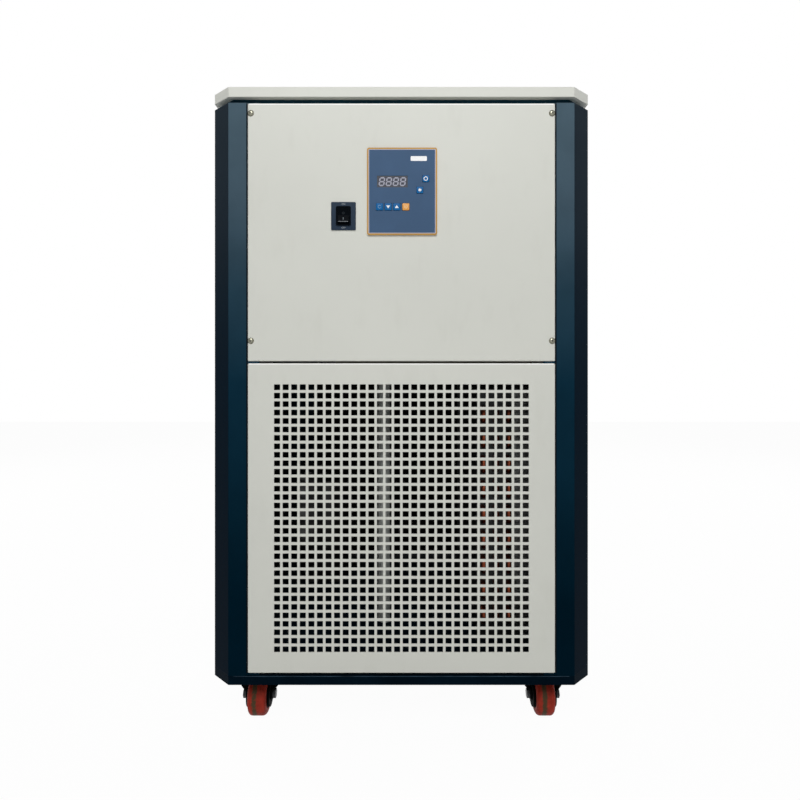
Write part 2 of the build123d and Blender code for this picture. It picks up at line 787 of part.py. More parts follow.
# Return bends that join the condenser's tubes in pairs at its front, in three columns
bend_middle = deck_top + condenser_height / 2
with BuildPart() as condenser_bends:
    for column in range(bend_columns):
        column_x = condenser_x + (column - (bend_columns - 1) / 2) * tube_spacing
        with BuildSketch(
            Plane((column_x, condenser_front, bend_middle), x_dir=(0, -1, 0), z_dir=(1, 0, 0))
        ) as bends:
            with Locations(*[(bend_reach / 2, bend_pitch * (row - (bend_rows - 1) / 2)) for row in range(bend_rows)]):
                Rectangle(bend_reach, tube_spacing + tube_diameter)
            chamfer(bends.vertices().group_by(Axis.X)[-1], length=bend_corner)
            with Locations(*[(0, bend_pitch * (row - (bend_rows - 1) / 2)) for row in range(bend_rows)]):
                Rectangle(2 * (bend_reach - tube_diameter), tube_spacing - tube_diameter, mode=Mode.SUBTRACT)
        extrude(amount=tube_diameter / 2, both=True)
save(condenser_bends, "condenser_bends")

# Fan shroud on the outer side of the condenser, a box open over the fins with a round outlet
fan_z = deck_top + condenser_height / 2


def across_plane(x, y, z):
    """Give a plane that faces +X, with local X towards the rear and local Y up."""
    return Plane((x, y, z), x_dir=(0, 1, 0), z_dir=(1, 0, 0))


with BuildPart() as fan_shroud:
    with BuildSketch(across_plane(shroud_x, condenser_y, fan_z)):
        Rectangle(condenser_length, condenser_height)
        Rectangle(condenser_length - 2 * shroud_sheet, condenser_height - 2 * shroud_sheet, mode=Mode.SUBTRACT)
    extrude(amount=fan_depth)
    with BuildSketch(across_plane(outlet_x, condenser_y, fan_z)):
        Rectangle(condenser_length, condenser_height)
        RegularPolygon(fan_diameter / 2 + fan_gap, outlet_sides, major_radius=False, mode=Mode.SUBTRACT)
    extrude(amount=shroud_sheet)
save(fan_shroud, "fan_shroud")

# Fan motor on two arms across the outlet, its shaft pointing back into the shroud
shaft_start = outlet_x - fan_hub_depth
with BuildPart() as fan_motor:
    with BuildSketch(across_plane(motor_x, condenser_y, fan_z)):
        RegularPolygon(motor_diameter / 2, motor_sides, major_radius=False)
    extrude(amount=motor_length)
    with BuildSketch(across_plane(motor_x - motor_arm_sheet, condenser_y, fan_z)):
        Rectangle(fan_diameter + 4 * fan_gap, motor_arm)
        Rectangle(motor_arm, fan_diameter + 4 * fan_gap)
    extrude(amount=motor_arm_sheet)
    with BuildSketch(across_plane(shaft_start, condenser_y, fan_z)):
        Circle(motor_shaft_radius)
    extrude(amount=motor_x - shaft_start)
save(fan_motor, "fan_motor")

# Fan impeller: a hub on the shaft and pitched blades that widen outward, first made about its own axis
hub_start = shaft_start - fan_gap
blade_start = fan_hub_diameter / 2 - blade_sheet
blade_end = sqrt((fan_diameter / 2) ** 2 - (blade_tip / 2) ** 2)
with BuildPart() as fan_blade:
    with BuildSketch():
        Polygon(
            (blade_start, -blade_root / 2),
            (blade_end, -blade_tip / 2),
            (fan_diameter / 2, 0),
            (blade_end, blade_tip / 2),
            (blade_start, blade_root / 2),
            align=None,
        )
    extrude(amount=blade_sheet / 2, both=True)
with BuildPart() as impeller_blank:
    with BuildSketch(Plane.XY.offset(-fan_hub_depth / 2)):
        RegularPolygon(fan_hub_diameter / 2, fan_hub_sides, major_radius=False)
    extrude(amount=fan_hub_depth)
    with PolarLocations(0, fan_blades):
        add(fan_blade.part, rotation=(blade_pitch, 0, 0))
    with BuildSketch(Plane.XY.offset(-fan_hub_depth / 2)):
        RegularPolygon(motor_shaft_radius + fan_bore_fit, bore_sides, major_radius=False)
    extrude(amount=fan_hub_depth, mode=Mode.SUBTRACT)
with BuildPart() as fan_impeller:
    with Locations(across_plane(hub_start + fan_hub_depth / 2, condenser_y, fan_z)):
        add(impeller_blank.part)
save(fan_impeller, "fan_impeller")

# Plate heat exchanger that cools the bath, standing on the shelf with two hexagon unions on top
exchanger_y = front + exchanger_setback
with BuildPart() as heat_exchanger:
    with BuildSketch(Plane((exchanger_x, exchanger_y, shelf_top))):
        Rectangle(exchanger_width, exchanger_depth)
    extrude(amount=exchanger_height)
    with BuildSketch(Plane((exchanger_x, exchanger_y, shelf_top + exchanger_height))):
        with GridLocations(exchanger_width / 2, exchanger_depth, 2, 1):
            RegularPolygon(exchanger_stub / 2, 6, major_radius=False)
    extrude(amount=exchanger_stub_length)
save(heat_exchanger, "heat_exchanger")

# Circulation pump: a motor block on a foot with a round pump head in front
pump_y = front + pump_setback
with BuildPart() as circulation_pump:
    with BuildSketch(Plane((pump_x, pump_y, shelf_top))):
        Rectangle(pump_width, pump_length / 2)
    extrude(amount=pump_foot)
    with BuildSketch(Plane((pump_x, pump_y, shelf_top + pump_foot + pump_height / 2), z_dir=(0, -1, 0))):
        RegularPolygon(pump_height / 2, 8, major_radius=False)
    extrude(amount=pump_length / 2, both=True)
save(circulation_pump, "circulation_pump")

# Drain hose from the shelf down to the deck
hose_y = front + hose_setback
with BuildPart() as drain_hose:
    with BuildSketch(Plane((hose_x, hose_y, deck_top))):
        RegularPolygon(hose_diameter / 2, hose_sides, major_radius=False)
    extrude(amount=shelf_top - shelf_sheet - deck_top)
save(drain_hose, "drain_hose")


def hose_port(x, z, name):
    """Make one hose port: a square neck through the panel, a hexagon and a round hose nozzle."""
    outside_plane = Plane((x, back, z), x_dir=(-1, 0, 0), z_dir=(0, 1, 0))
    with BuildPart() as port:
        with BuildSketch(outside_plane):
            Rectangle(port_neck, port_neck)
        extrude(amount=-port_inside)
        with BuildSketch(outside_plane):
            RegularPolygon(port_hex / 2, 6, major_radius=False)
        extrude(amount=port_hex_height)
        with BuildSketch(outside_plane):
            Circle(port_radius)
        extrude(amount=port_reach)
        with BuildSketch(outside_plane.offset(port_reach)):
            RegularPolygon(port_bore, bore_sides, major_radius=False)
        extrude(amount=-(port_reach + port_inside), mode=Mode.SUBTRACT)
    save(port, name)


for (x, z), name in zip(port_places, ("supply_port", "return_port")):
    hose_port(x, z, name)

# Drain valve: a square neck, a square body, a short nozzle and a stem on top
with BuildPart() as drain_valve:
    valve_start = Plane((valve_x, back - port_inside, valve_z), x_dir=(-1, 0, 0), z_dir=(0, 1, 0))
    with BuildSketch(valve_start):
        Rectangle(port_neck, port_neck)
    extrude(amount=port_inside + valve_standoff)
    with BuildSketch(valve_start.offset(port_inside + valve_standoff)) as valve_outline:
        Rectangle(valve_body, valve_body)
        chamfer(valve_outline.vertices(), length=valve_corner)
    extrude(amount=valve_body)
    with BuildSketch(valve_start.offset(port_inside + valve_standoff)):
        RegularPolygon(valve_nozzle / 2, nozzle_sides, major_radius=False)
    extrude(amount=valve_reach - valve_standoff)
    with BuildSketch(valve_start):
        RegularPolygon(valve_bore, bore_sides, major_radius=False)
    extrude(amount=port_inside + valve_reach, mode=Mode.SUBTRACT)
    with BuildSketch(Plane((valve_x, stem_y, valve_z + valve_body / 2))):
        Circle(valve_stem_radius)
    extrude(amount=valve_stem_height)
save(drain_valve, "drain_valve")

# Drain lever, a strip that turns on the stem and lies across the flow when shut
with BuildPart() as drain_lever:
    with BuildSketch(Plane((valve_x, stem_y, valve_z + valve_body / 2 + slide_clearance))) as lever_outline:
        with Locations(((lever_length - lever_width) / 2, 0)):
            Rectangle(lever_length, lever_width)
        chamfer(lever_outline.vertices(), length=lever_corner)
        RegularPolygon(valve_stem_radius + slide_clearance, bore_sides, major_radius=False, mode=Mode.SUBTRACT)
    extrude(amount=lever_sheet)
save(drain_lever, "drain_lever")

# Cable gland: a square neck, a hexagon against the panel and a round nose
with BuildPart() as cable_gland:
    gland_plane = Plane((gland_x, back, gland_z), x_dir=(-1, 0, 0), z_dir=(0, 1, 0))
    with BuildSketch(gland_plane):
        Rectangle(port_neck, port_neck)
    extrude(amount=-port_inside)
    with BuildSketch(gland_plane):
        RegularPolygon(gland_hex / 2, 6, major_radius=False)
    extrude(amount=gland_collar)
    with BuildSketch(gland_plane):
        RegularPolygon(gland_nose / 2, nozzle_sides, major_radius=False)
    extrude(amount=gland_reach)
    with BuildSketch(gland_plane.offset(gland_reach)):
        RegularPolygon(gland_bore, bore_sides, major_radius=False)
    extrude(amount=-(gland_reach + port_inside), mode=Mode.SUBTRACT)
save(cable_gland, "cable_gland")
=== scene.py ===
from math import cos, pi, radians, sin

import bmesh
import bpy
import numpy as np
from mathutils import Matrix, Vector


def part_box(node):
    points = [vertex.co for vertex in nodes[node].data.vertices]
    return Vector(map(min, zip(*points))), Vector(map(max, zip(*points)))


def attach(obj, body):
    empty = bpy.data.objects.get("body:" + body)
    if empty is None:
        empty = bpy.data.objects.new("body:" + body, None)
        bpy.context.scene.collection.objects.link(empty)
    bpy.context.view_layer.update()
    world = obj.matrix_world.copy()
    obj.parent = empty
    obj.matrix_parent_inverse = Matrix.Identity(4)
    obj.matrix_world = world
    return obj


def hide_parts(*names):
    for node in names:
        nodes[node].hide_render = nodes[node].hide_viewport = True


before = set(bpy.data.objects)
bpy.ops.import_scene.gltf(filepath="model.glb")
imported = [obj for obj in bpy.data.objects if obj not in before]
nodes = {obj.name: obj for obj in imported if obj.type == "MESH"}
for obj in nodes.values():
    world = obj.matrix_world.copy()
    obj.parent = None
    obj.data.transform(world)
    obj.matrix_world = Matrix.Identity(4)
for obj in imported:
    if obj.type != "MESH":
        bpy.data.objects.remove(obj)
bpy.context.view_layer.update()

# Base pan
# The floor of the cabinet is a tray of 1.5 mm steel, folded down at its rim, with cut corners.
# It is powder coated almost black, and the casters are bolted up under it.
MM = 0.001


def linear(colour, share=1.0):
    """Turn an sRGB hex colour into linear values, each channel times a share."""
    values = np.array([int(colour[i : i + 2], 16) for i in (0, 2, 4)]) / 255
    values = np.where(values <= 0.04045, values / 12.92, ((values + 0.055) / 1.055) ** 2.4)
    return (*(values * share), 1.0)


def add_node(tree, kind, inputs=None, **settings):
    """Add a shader node with its settings, and give each input a value or the socket that feeds it."""
    made = tree.nodes.new("ShaderNode" + kind)
    for name, value in settings.items():
        setattr(made, name, value)
    for key, value in (inputs or {}).items():
        if isinstance(value, bpy.types.NodeSocket):
            tree.links.new(value, made.inputs[key])
        else:
            made.inputs[key].default_value = value
    return made


def finish(
    name,
    colour,
    roughness,
    spread=0.05,
    cloud=60,
    grain=1.5,
    relief=0.1,
    edge=0.0,
    shine=0.5,
    drawn=(1, 1, 1),
    **sockets,
):
    """Make a finish: a base colour in soft clouds, a grain that moves roughness and relief, and eased edges.

    cloud, grain and edge are millimetres: the size of one cloud and of one grain, and the radius that the
    eye sees on a fold. drawn stretches clouds and grain along an axis, and shine is how much light mirrors.
    """
    material = bpy.data.materials.new(name)
    material.use_nodes = True
    tree = material.node_tree
    shader = tree.nodes["Principled BSDF"]
    for key, value in {"Specular IOR Level": shine, **sockets}.items():
        shader.inputs[key].default_value = value
    place = add_node(tree, "TexCoord").outputs["Object"]
    along = add_node(tree, "Mapping", {"Vector": place, "Scale": drawn}).outputs["Vector"]
    clouds = add_node(tree, "TexNoise", {"Vector": along, "Scale": 1 / (cloud * MM), "Detail": 3.0})
    tones = add_node(tree, "ValToRGB", {"Fac": clouds.outputs["Fac"]})
    for element, position, share in zip(tones.color_ramp.elements, (0.3, 0.7), (1 - spread, 1 + spread)):
        element.position = position
        element.color = linear(colour, share)
    tree.links.new(tones.outputs["Color"], shader.inputs["Base Color"])
    grains = add_node(tree, "TexNoise", {"Vector": along, "Scale": 1 / (grain * MM), "Detail": 2.0})
    gloss = add_node(
        tree,
        "MapRange",
        {"Value": grains.outputs["Fac"], "To Min": roughness - 0.04, "To Max": roughness + 0.06},
    )
    tree.links.new(gloss.outputs["Result"], shader.inputs["Roughness"])
    bump = add_node(tree, "Bump", {"Height": grains.outputs["Fac"], "Strength": relief, "Distance": 0.1 * MM})
    if edge > 0:
        eased_edge = add_node(tree, "Bevel", {"Radius": edge * MM}, samples=6)
        tree.links.new(eased_edge.outputs["Normal"], bump.inputs["Normal"])
    tree.links.new(bump.outputs["Normal"], shader.inputs["Normal"])
    return material


def opened(material):
    """Give a finish's node tree, its shader, the socket that colours it and the node of its coordinates."""
    tree = material.node_tree
    shader = tree.nodes["Principled BSDF"]
    place = next(node for node in tree.nodes if node.type == "TEX_COORD")
    return tree, shader, shader.inputs["Base Color"].links[0].from_socket, place


def dress(node_name, material):
    """Give a node of the frame its finish."""
    for place in nodes[node_name].material_slots:
        place.material = material


# Powder coat on steel: fine orange peel of about 1.5 mm and a semi-gloss that catches the folds.
base_coat = finish("black_powder_coat", "02111c", 0.38, spread=0.3, edge=1.0, IOR=1.06)
dress("base_pan", base_coat)

# Corner posts
# Each post is 1.5 mm steel folded round a 45 degree face, with a lip behind each panel beside it.
# The navy coat's colour carries painted light: deep and glossy low down, with a painted grey-blue sheen near
# the top.
PAINTED_SHEEN_FLOOR = 100 * MM
PAINTED_SHEEN_TOP = 1000 * MM
SLANT_SHADE = 0.85
SLANT_SHADE_TONE = "00101e"
# Painted sheen: tones by height that stand in for light falling from above.
PAINTED_SHEEN_TONES = ((0.12, "001825"), (0.5, "0e2d3e"), (0.66, "27404f"), (0.82, "445764"), (0.97, "4a5d69"))


def painted_light_post_coat():
    """Make the navy powder coat: tones by height, from nearly black to grey-blue, under soft clouds.

    The tones by height are painted light, and the faces at 45 degrees get painted shade, a deeper tone.
    """
    material = finish("navy_coat_painted_light", "ffffff", 0.34, spread=0.12, cloud=90, edge=1.4, IOR=1.05)
    tree, shader, clouds, place = opened(material)
    height = add_node(tree, "SeparateXYZ", {"Vector": place.outputs["Object"]}).outputs["Z"]
    rise = add_node(tree, "MapRange", {"Value": height, "From Min": PAINTED_SHEEN_FLOOR, "From Max": PAINTED_SHEEN_TOP})
    painted_sheen = add_node(tree, "ValToRGB", {"Fac": rise.outputs["Result"]})
    for position, _ in PAINTED_SHEEN_TONES[1:-1]:
        painted_sheen.color_ramp.elements.new(position)
    for element, (position, tone) in zip(painted_sheen.color_ramp.elements, PAINTED_SHEEN_TONES):
        element.position = position
        element.color = linear(tone)
    mixed = add_node(
        tree, "Mix", {0: 1.0, 6: painted_sheen.outputs["Color"], 7: clouds}, data_type="RGBA", blend_type="MULTIPLY"
    )
    # Painted shade: the faces at 45 degrees are mixed towards a deeper tone.
    facing = add_node(tree, "SeparateXYZ", {"Vector": place.outputs["Normal"]})
    sides = {0: facing.outputs["X"], 1: facing.outputs["Y"]}
    slant = add_node(tree, "Math", sides, operation="MULTIPLY")
    turned_away = add_node(tree, "Math", {0: slant.outputs["Value"]}, operation="ABSOLUTE")
    depth = add_node(
        tree, "MapRange", {"Value": turned_away.outputs["Value"], "From Max": 0.5, "To Max": SLANT_SHADE}
    )
    shaded = add_node(
        tree,
        "Mix",
        {0: depth.outputs["Result"], 6: mixed.outputs[2], 7: linear(SLANT_SHADE_TONE)},
        data_type="RGBA",
    )
    tree.links.new(shaded.outputs[2], shader.inputs["Base Color"])
    return material


# Glossy where it is deep, with a painted sheen that is lighter towards the top. The neck above is a duller
# coat of the same colour.
post_coat = painted_light_post_coat()
for end in ("front", "rear"):
    for side in ("left", "right"):
        dress(f"corner_post_{end}_{side}", post_coat)
neck_coat = finish("navy_neck_coat", "12323f", 0.4, spread=0.2, cloud=60, edge=0.8, IOR=1.1)
dress("neck_frame", neck_coat)

# Top cap
# The cap is a folded tray of 1.5 mm steel, open below, with the filling mouth cut through it.
# Its cream powder coat is the same batch as the panels', with faint handling marks.
SMEAR_SIZE = 22 * MM
SMEAR_STRETCH = (1.0, 1.0, 0.4)
SMEAR_TONE = "a8a698"


def cream_coat():
    """Make the cream powder coat: semi-gloss, with faint grey smears where hands and cloths have been."""
    material = finish("cream_powder_coat", "dcddd5", 0.42, spread=0.015, cloud=140, edge=1.2, shine=0.3)
    tree, shader, tones, place = opened(material)
    stretch = {"Vector": place.outputs["Object"], "Scale": SMEAR_STRETCH}
    upright = add_node(tree, "Mapping", stretch).outputs["Vector"]
    smears = add_node(tree, "TexNoise", {"Vector": upright, "Scale": 1 / SMEAR_SIZE, "Detail": 5.0})
    mask = add_node(
        tree, "MapRange", {"Value": smears.outputs["Fac"], "From Min": 0.55, "From Max": 0.8, "To Max": 0.07}
    )
    soiled = add_node(
        tree, "Mix", {0: mask.outputs["Result"], 6: tones, 7: linear(SMEAR_TONE)}, data_type="RGBA"
    )
    tree.links.new(soiled.outputs[2], shader.inputs["Base Color"])
    return material


panel_coat = cream_coat()
dress("top_cap", panel_coat)

# Upper front panel
# A sheet of 1 mm steel whose border is folded back all round, hooked between the posts' lips.
# It is cut through behind the key panel and behind the power switch.
SHEET = 1.0 * MM
FOLD_RADIUS = 1.8 * MM
FOLD_STEPS = 4
CORNER_STEPS = 4
PANEL_FLANGE = 11 * MM
SHARP_ANGLE = 35
ROUND_SHARP_ANGLE = 50
MERGE = 0.01 * MM
FASCIA_SEAT = 7 * MM
BEZEL_SEAT = 0.9 * MM


def box_of(node_name):
    """Give a node's lowest and highest corners as arrays."""
    return tuple(np.array(corner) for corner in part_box(node_name))


def front_of(node_name):
    """Give the middle of a node's front face, its width and height as an array, and its depth."""
    low, high = box_of(node_name)
    middle = (low + high) / 2
    return np.array([middle[0], low[1], middle[2]]), (high - low)[[0, 2]], high[1] - low[1]


def grid_faces(rows, columns, start=0, closed=False, keep=None):
    """Number the quads of a grid of points, closed round its columns if asked, less the cells not kept."""
    index = np.arange(rows * columns).reshape(rows, columns) + start
    if closed:
        index = np.hstack([index, index[:, :1]])
    quads = np.stack([index[:-1, :-1], index[:-1, 1:], index[1:, 1:], index[1:, :-1]], axis=-1)
    if keep is not None:
        return quads[keep]
    return quads.reshape(-1, 4)


def build(
    name, points, faces, material, body, slot, replaced=(), sharp=SHARP_ANGLE, flat=False, merge=MERGE
):
    """Make a piece from points and faces, with doubles merged and sharp folds kept.

    Its faces are turned outward, or to the front where it is a flat print. The piece rides on its body,
    The piece rides on its body and stands for the nodes that it replaces. slot is not used.
    """
    mesh = bpy.data.meshes.new(name)
    corners = np.asarray(points).reshape(-1, 3).tolist()
    mesh.from_pydata(corners, [], [np.asarray(face).tolist() for face in faces])
    shell = bmesh.new()
    shell.from_mesh(mesh)
    bmesh.ops.remove_doubles(shell, verts=shell.verts, dist=merge)
    if flat:
        shell.normal_update()
        bmesh.ops.reverse_faces(shell, faces=[face for face in shell.faces if face.normal.y > 0])
    else:
        bmesh.ops.recalc_face_normals(shell, faces=shell.faces)
    shell.to_mesh(mesh)
    shell.free()
    mesh.shade_smooth()
    mesh.set_sharp_from_angle(angle=radians(sharp))
    mesh.materials.append(material)
    piece = bpy.data.objects.new(name, mesh)
    bpy.context.scene.collection.objects.link(piece)
    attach(piece, body)
    if replaced:
        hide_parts(*replaced)
    return piece


def thicken(piece, thickness, inner=None):
    """Give a surface its wall, inward from its outside, with another finish inside where one is given.

    The wall is made part of the mesh, its folds are kept sharp, and its flats are shaded as flats.
    """
    wall = piece.modifiers.new("wall", "SOLIDIFY")
    wall.thickness = thickness
    wall.offset = -1
    if inner is not None:
        piece.data.materials.append(inner)
        wall.material_offset = 1
    shell = bpy.data.meshes.new_from_object(piece.evaluated_get(bpy.context.evaluated_depsgraph_get()))
    piece.modifiers.clear()
    piece.data = shell
    shell.set_sharp_from_angle(angle=radians(SHARP_ANGLE))
    level = piece.modifiers.new("level", "WEIGHTED_NORMAL")
    level.keep_sharp = True


def outline(width, height, xs, zs):
    """Walk round a rectangle through the given stations, and repeat each corner while its normal turns.

    Gives the stations and the outward normals, both as arrays of X and Z.
    """
    turn = np.linspace(0, pi / 2, CORNER_STEPS + 1)[1:-1]
    sides = [
        (np.stack([xs, np.full(len(xs), -height / 2)], 1), -pi / 2),
        (np.stack([np.full(len(zs), width / 2), zs], 1), 0.0),
        (np.stack([xs[::-1], np.full(len(xs), height / 2)], 1), pi / 2),
        (np.stack([np.full(len(zs), -width / 2), zs[::-1]], 1), pi),
    ]
    points = [np.vstack([stations, np.repeat(stations[-1:], len(turn), 0)]) for stations, _ in sides]
    angles = [np.append(np.full(len(stations), angle), angle + turn) for stations, angle in sides]
    angles = np.concatenate(angles)
    return np.vstack(points), np.stack([np.cos(angles), np.sin(angles)], 1)


def folded_sheet(width, height, holes, radius, flange):
    """Work out a flat sheet with rectangular holes whose border is folded back all round.

    The flat is a grid of stations at the hole edges, less the cells in a hole. The border is a profile,
    a quarter circle and a straight flange, carried round the flat's outline. X is to the right, Z is up,
    and Y is the depth behind the face.
    """
    flat_width, flat_height = width - 2 * radius, height - 2 * radius
    holes = np.asarray(holes, float).reshape(-1, 4)
    xs, zs = (
        np.unique(np.round(np.concatenate([[-size / 2, size / 2], edges.ravel()]), 7))
        for size, edges in ((flat_width, holes[:, :2]), (flat_height, holes[:, 2:]))
    )
    across, up = np.meshgrid(xs, zs)
    face = np.stack([across, np.zeros_like(across), up], -1).reshape(-1, 3)
    middle_x, middle_z = (xs[:-1] + xs[1:]) / 2, (zs[:-1] + zs[1:]) / 2
    in_x = (middle_x > holes[:, :1]) & (middle_x < holes[:, 1:2])
    in_z = (middle_z > holes[:, 2:3]) & (middle_z < holes[:, 3:])
    cut = np.einsum("hi,hj->ij", in_z.astype(int), in_x.astype(int)) > 0
    faces = grid_faces(len(zs), len(xs), keep=~cut)
    stations, normals = outline(flat_width, flat_height, xs, zs)
    angle = np.linspace(0, pi / 2, FOLD_STEPS + 1)
    out = np.append(radius * np.sin(angle), radius)
    back = np.append(radius * (1 - np.cos(angle)), radius + flange)
    border = np.zeros((len(out), len(stations), 3))
    border[..., [0, 2]] = stations + out[:, None, None] * normals
    border[..., 1] = back[:, None]
    border_faces = grid_faces(*border.shape[:2], start=len(face), closed=True)
    return np.vstack([face, border.reshape(-1, 3)]), np.vstack([faces, border_faces])


# Painted shade inside the panels: a near-black matt lining on their inner faces, so the space behind them is
# dark.
inner_shade_lining = finish("painted_shade_lining", "060606", 0.9, grain=2, relief=0.3, shine=0.05)


def panel(name, node_name, holes, turn=0):
    """Fold one cabinet panel in place of its node, turned round the vertical to face its side."""
    low, high = box_of(node_name)
    middle = (low + high) / 2
    across = 0 if turn in (0, 180) else 1
    width, height = (high - low)[across], (high - low)[2]
    faced = {
        0: (middle[0], low[1]),
        90: (high[0], middle[1]),
        180: (middle[0], high[1]),
        270: (low[0], middle[1]),
    }[turn]
    points, faces = folded_sheet(width, height, holes, FOLD_RADIUS, PANEL_FLANGE)
    x, y, z = points.T
    c, s = cos(radians(turn)), sin(radians(turn))
    placed = np.stack([x * c - y * s + faced[0], x * s + y * c + faced[1], z + middle[2]], 1)
    piece = build(name, placed, faces, panel_coat, "root", "painted_cream", (node_name,))
    thicken(piece, SHEET, inner_shade_lining)
    return piece


def hole_at(node_name, panel_node, margin):
    """Give the hole in a front panel round a node with a margin, in the panel's own X and Z."""
    low, high = box_of(node_name)
    middle = sum(box_of(panel_node)) / 2
    left, bottom = (low - margin - middle)[[0, 2]]
    right, top = (high + margin - middle)[[0, 2]]
    return left, right, bottom, top


seats = {"control_fascia": FASCIA_SEAT, "rocker_housing": BEZEL_SEAT}
openings = [hole_at(seated, "upper_front_panel", -seat) for seated, seat in seats.items()]
panel("upper_panel_sheet", "upper_front_panel", openings)

# Lower front panel
# The air inlet: the same folded sheet, with a field of 30 by 32 nearly square punched holes.
# The bars between the holes stay flat, and the space behind them is dark.
HOLE_COLUMNS = 30
HOLE_ROWS = 32
HOLE_WIDTH = 9.3 * MM
HOLE_HEIGHT = 8.8 * MM
HOLE_PITCH_X = 13.38 * MM
HOLE_PITCH_Z = 13.19 * MM


def hole_field(columns, rows, pitch_x, pitch_z, width, height):
    """List the rectangles of a regular field of holes, centred on the panel."""
    x = (np.arange(columns) - (columns - 1) / 2) * pitch_x
    z = (np.arange(rows) - (rows - 1) / 2) * pitch_z
    x, z = (values.ravel() for values in np.meshgrid(x, z))
    return np.stack([x - width / 2, x + width / 2, z - height / 2, z + height / 2], 1)


inlet = hole_field(HOLE_COLUMNS, HOLE_ROWS, HOLE_PITCH_X, HOLE_PITCH_Z, HOLE_WIDTH, HOLE_HEIGHT)
panel("perforated_panel_sheet", "lower_grille_panel", inlet)

# Side and rear panels
# The same folded sheets, with louvre slots low in the sides for the warm air.
# The rear one has square holes that keep the hose ports, drain valve and cable gland from turning.
LOUVRE_COUNT = 6
LOUVRE_LENGTH = 300 * MM
LOUVRE_HEIGHT = 12 * MM
LOUVRE_PITCH = 48 * MM
LOUVRE_RISE = 80 * MM
FITTING_HOLE = 14.6 * MM
VALVE_DROP = 3 * MM

side_low, side_high = box_of("left_side_panel")
louvres = hole_field(1, LOUVRE_COUNT, LOUVRE_PITCH, LOUVRE_PITCH, LOUVRE_LENGTH, LOUVRE_HEIGHT)
louvres[:, 2:] += LOUVRE_RISE + (LOUVRE_COUNT - 1) * LOUVRE_PITCH / 2 - (side_high - side_low)[2] / 2
panel("left_panel_sheet", "left_side_panel", louvres, 270)
panel("right_panel_sheet", "right_side_panel", louvres, 90)

rear_middle = sum(box_of("rear_panel")) / 2
fitting_holes = []
for fitting in ("supply_port", "return_port", "drain_valve", "cable_gland"):
    offset = sum(box_of(fitting)) / 2 - rear_middle
    x, z = -offset[0], offset[2]
    if fitting == "drain_valve":
        z -= VALVE_DROP
    half = FITTING_HOLE / 2
    fitting_holes.append((x - half, x + half, z - half, z + half))
panel("rear_panel_sheet", "rear_panel", fitting_holes, 180)

# Panel screws
# Four M5 pan head screws hold the upper panel to the posts' lips, nickel plated steel.
# Their low domes are worn to a dull grey-gold, and the recess in the middle is painted shade, a black dot.
SCREW_RADIUS = 5.0 * MM
SCREW_DOME = 2.8 * MM
SCREW_RECESS = 1.2 * MM
RECESS_PROUD = 0.05 * MM
RECESS_SHOULDER = 0.98
RECESS_STEPS = 12
SCREW_SPREAD = 235 * MM
SCREW_HEIGHTS = (615 * MM, 970 * MM)
TURN_STEPS = 32
QUARTER_STEPS = 6

# Nickel shows as a warm metal with a soft mirror, and the recess's painted shade as a black dot.
nickel = finish("nickel_plated_steel", "7c7b6e", 0.18, spread=0.06, grain=0.8, Metallic=1.0)
recess_shade_dot = finish("shadowed_recess", "0c0c0a", 0.7, grain=0.5)


def turned(profile, centre, axis="y", steps=TURN_STEPS):
    """Turn a profile of radius and height about an axis through a centre, as a grid closed round it."""
    profile = np.asarray(profile, float)
    angle = np.arange(steps) * 2 * pi / steps
    ring = profile[:, :1] * np.cos(angle), profile[:, :1] * np.sin(angle)
    along = np.repeat(profile[:, 1:], steps, 1)
    order = {"x": (along, *ring), "y": (ring[0], along, ring[1]), "z": (*ring, along)}[axis]
    return np.stack(order, -1) + np.asarray(centre), grid_faces(len(profile), steps, closed=True)


panel_front = box_of("upper_front_panel")[0][1]
dome_angle = np.linspace(0, pi / 2, QUARTER_STEPS + 1)
dome = np.stack([SCREW_RADIUS * np.sin(dome_angle), -SCREW_DOME * np.cos(dome_angle)], 1)
screw_profile = np.vstack([dome, [[0, 0]]])
recess_profile = [
    (0, -SCREW_DOME - RECESS_PROUD),
    (SCREW_RECESS, -SCREW_DOME * RECESS_SHOULDER),
    (SCREW_RECESS, -SCREW_DOME / 2),
    (0, -SCREW_DOME / 2),
]
for row, z in enumerate(SCREW_HEIGHTS):
    for column, x in enumerate((-SCREW_SPREAD, SCREW_SPREAD)):
        centre = (x, panel_front, z)
        head = turned(screw_profile, centre)
        recess = turned(recess_profile, centre, steps=RECESS_STEPS)
        build(f"panel_screw_{row}{column}", *head, nickel, "root", "stainless", sharp=ROUND_SHARP_ANGLE)
        build(f"screw_recess_{row}{column}", *recess, recess_shade_dot, "root", "stainless")

# Key panel
# A moulded plate with a matt printed overlay: a gold line round its rim, a pale line inside it,
# a blue field with a display window, six key holes and a bare white print above them.
FIELD_FOLD = 0.4 * MM
RIM_OVERLAP = 0.3 * MM
RIM_PROUD = 0.15 * MM
PLATE_WALL = 0.3 * MM
GOLD_WIDTH = 2.3 * MM
PALE_WIDTH = 1.0 * MM
PRINT_LIFT = 0.12 * MM
PRINT_MERGE = 0.001 * MM
FASCIA_CORNER = 3 * MM
PALE_CORNER = 1.0 * MM
LABEL_CORNER = 1.4 * MM
SMALLEST_CORNER = 0.4 * MM
HOLE_EASE = 0.3 * MM
KEY_HOLE_EASE = -0.65 * MM
PATH_CORNER_STEPS = 6
PATH_POINTS = 4 * (PATH_CORNER_STEPS + 1)
LABEL_SIZE = (25.2 * MM, 7.4 * MM)
LABEL_PLACE = (27.0 * MM, 898.4 * MM)
KEY_NAMES = ("set_key", "down_key", "up_key", "run_key", "pump_key", "cooling_key")

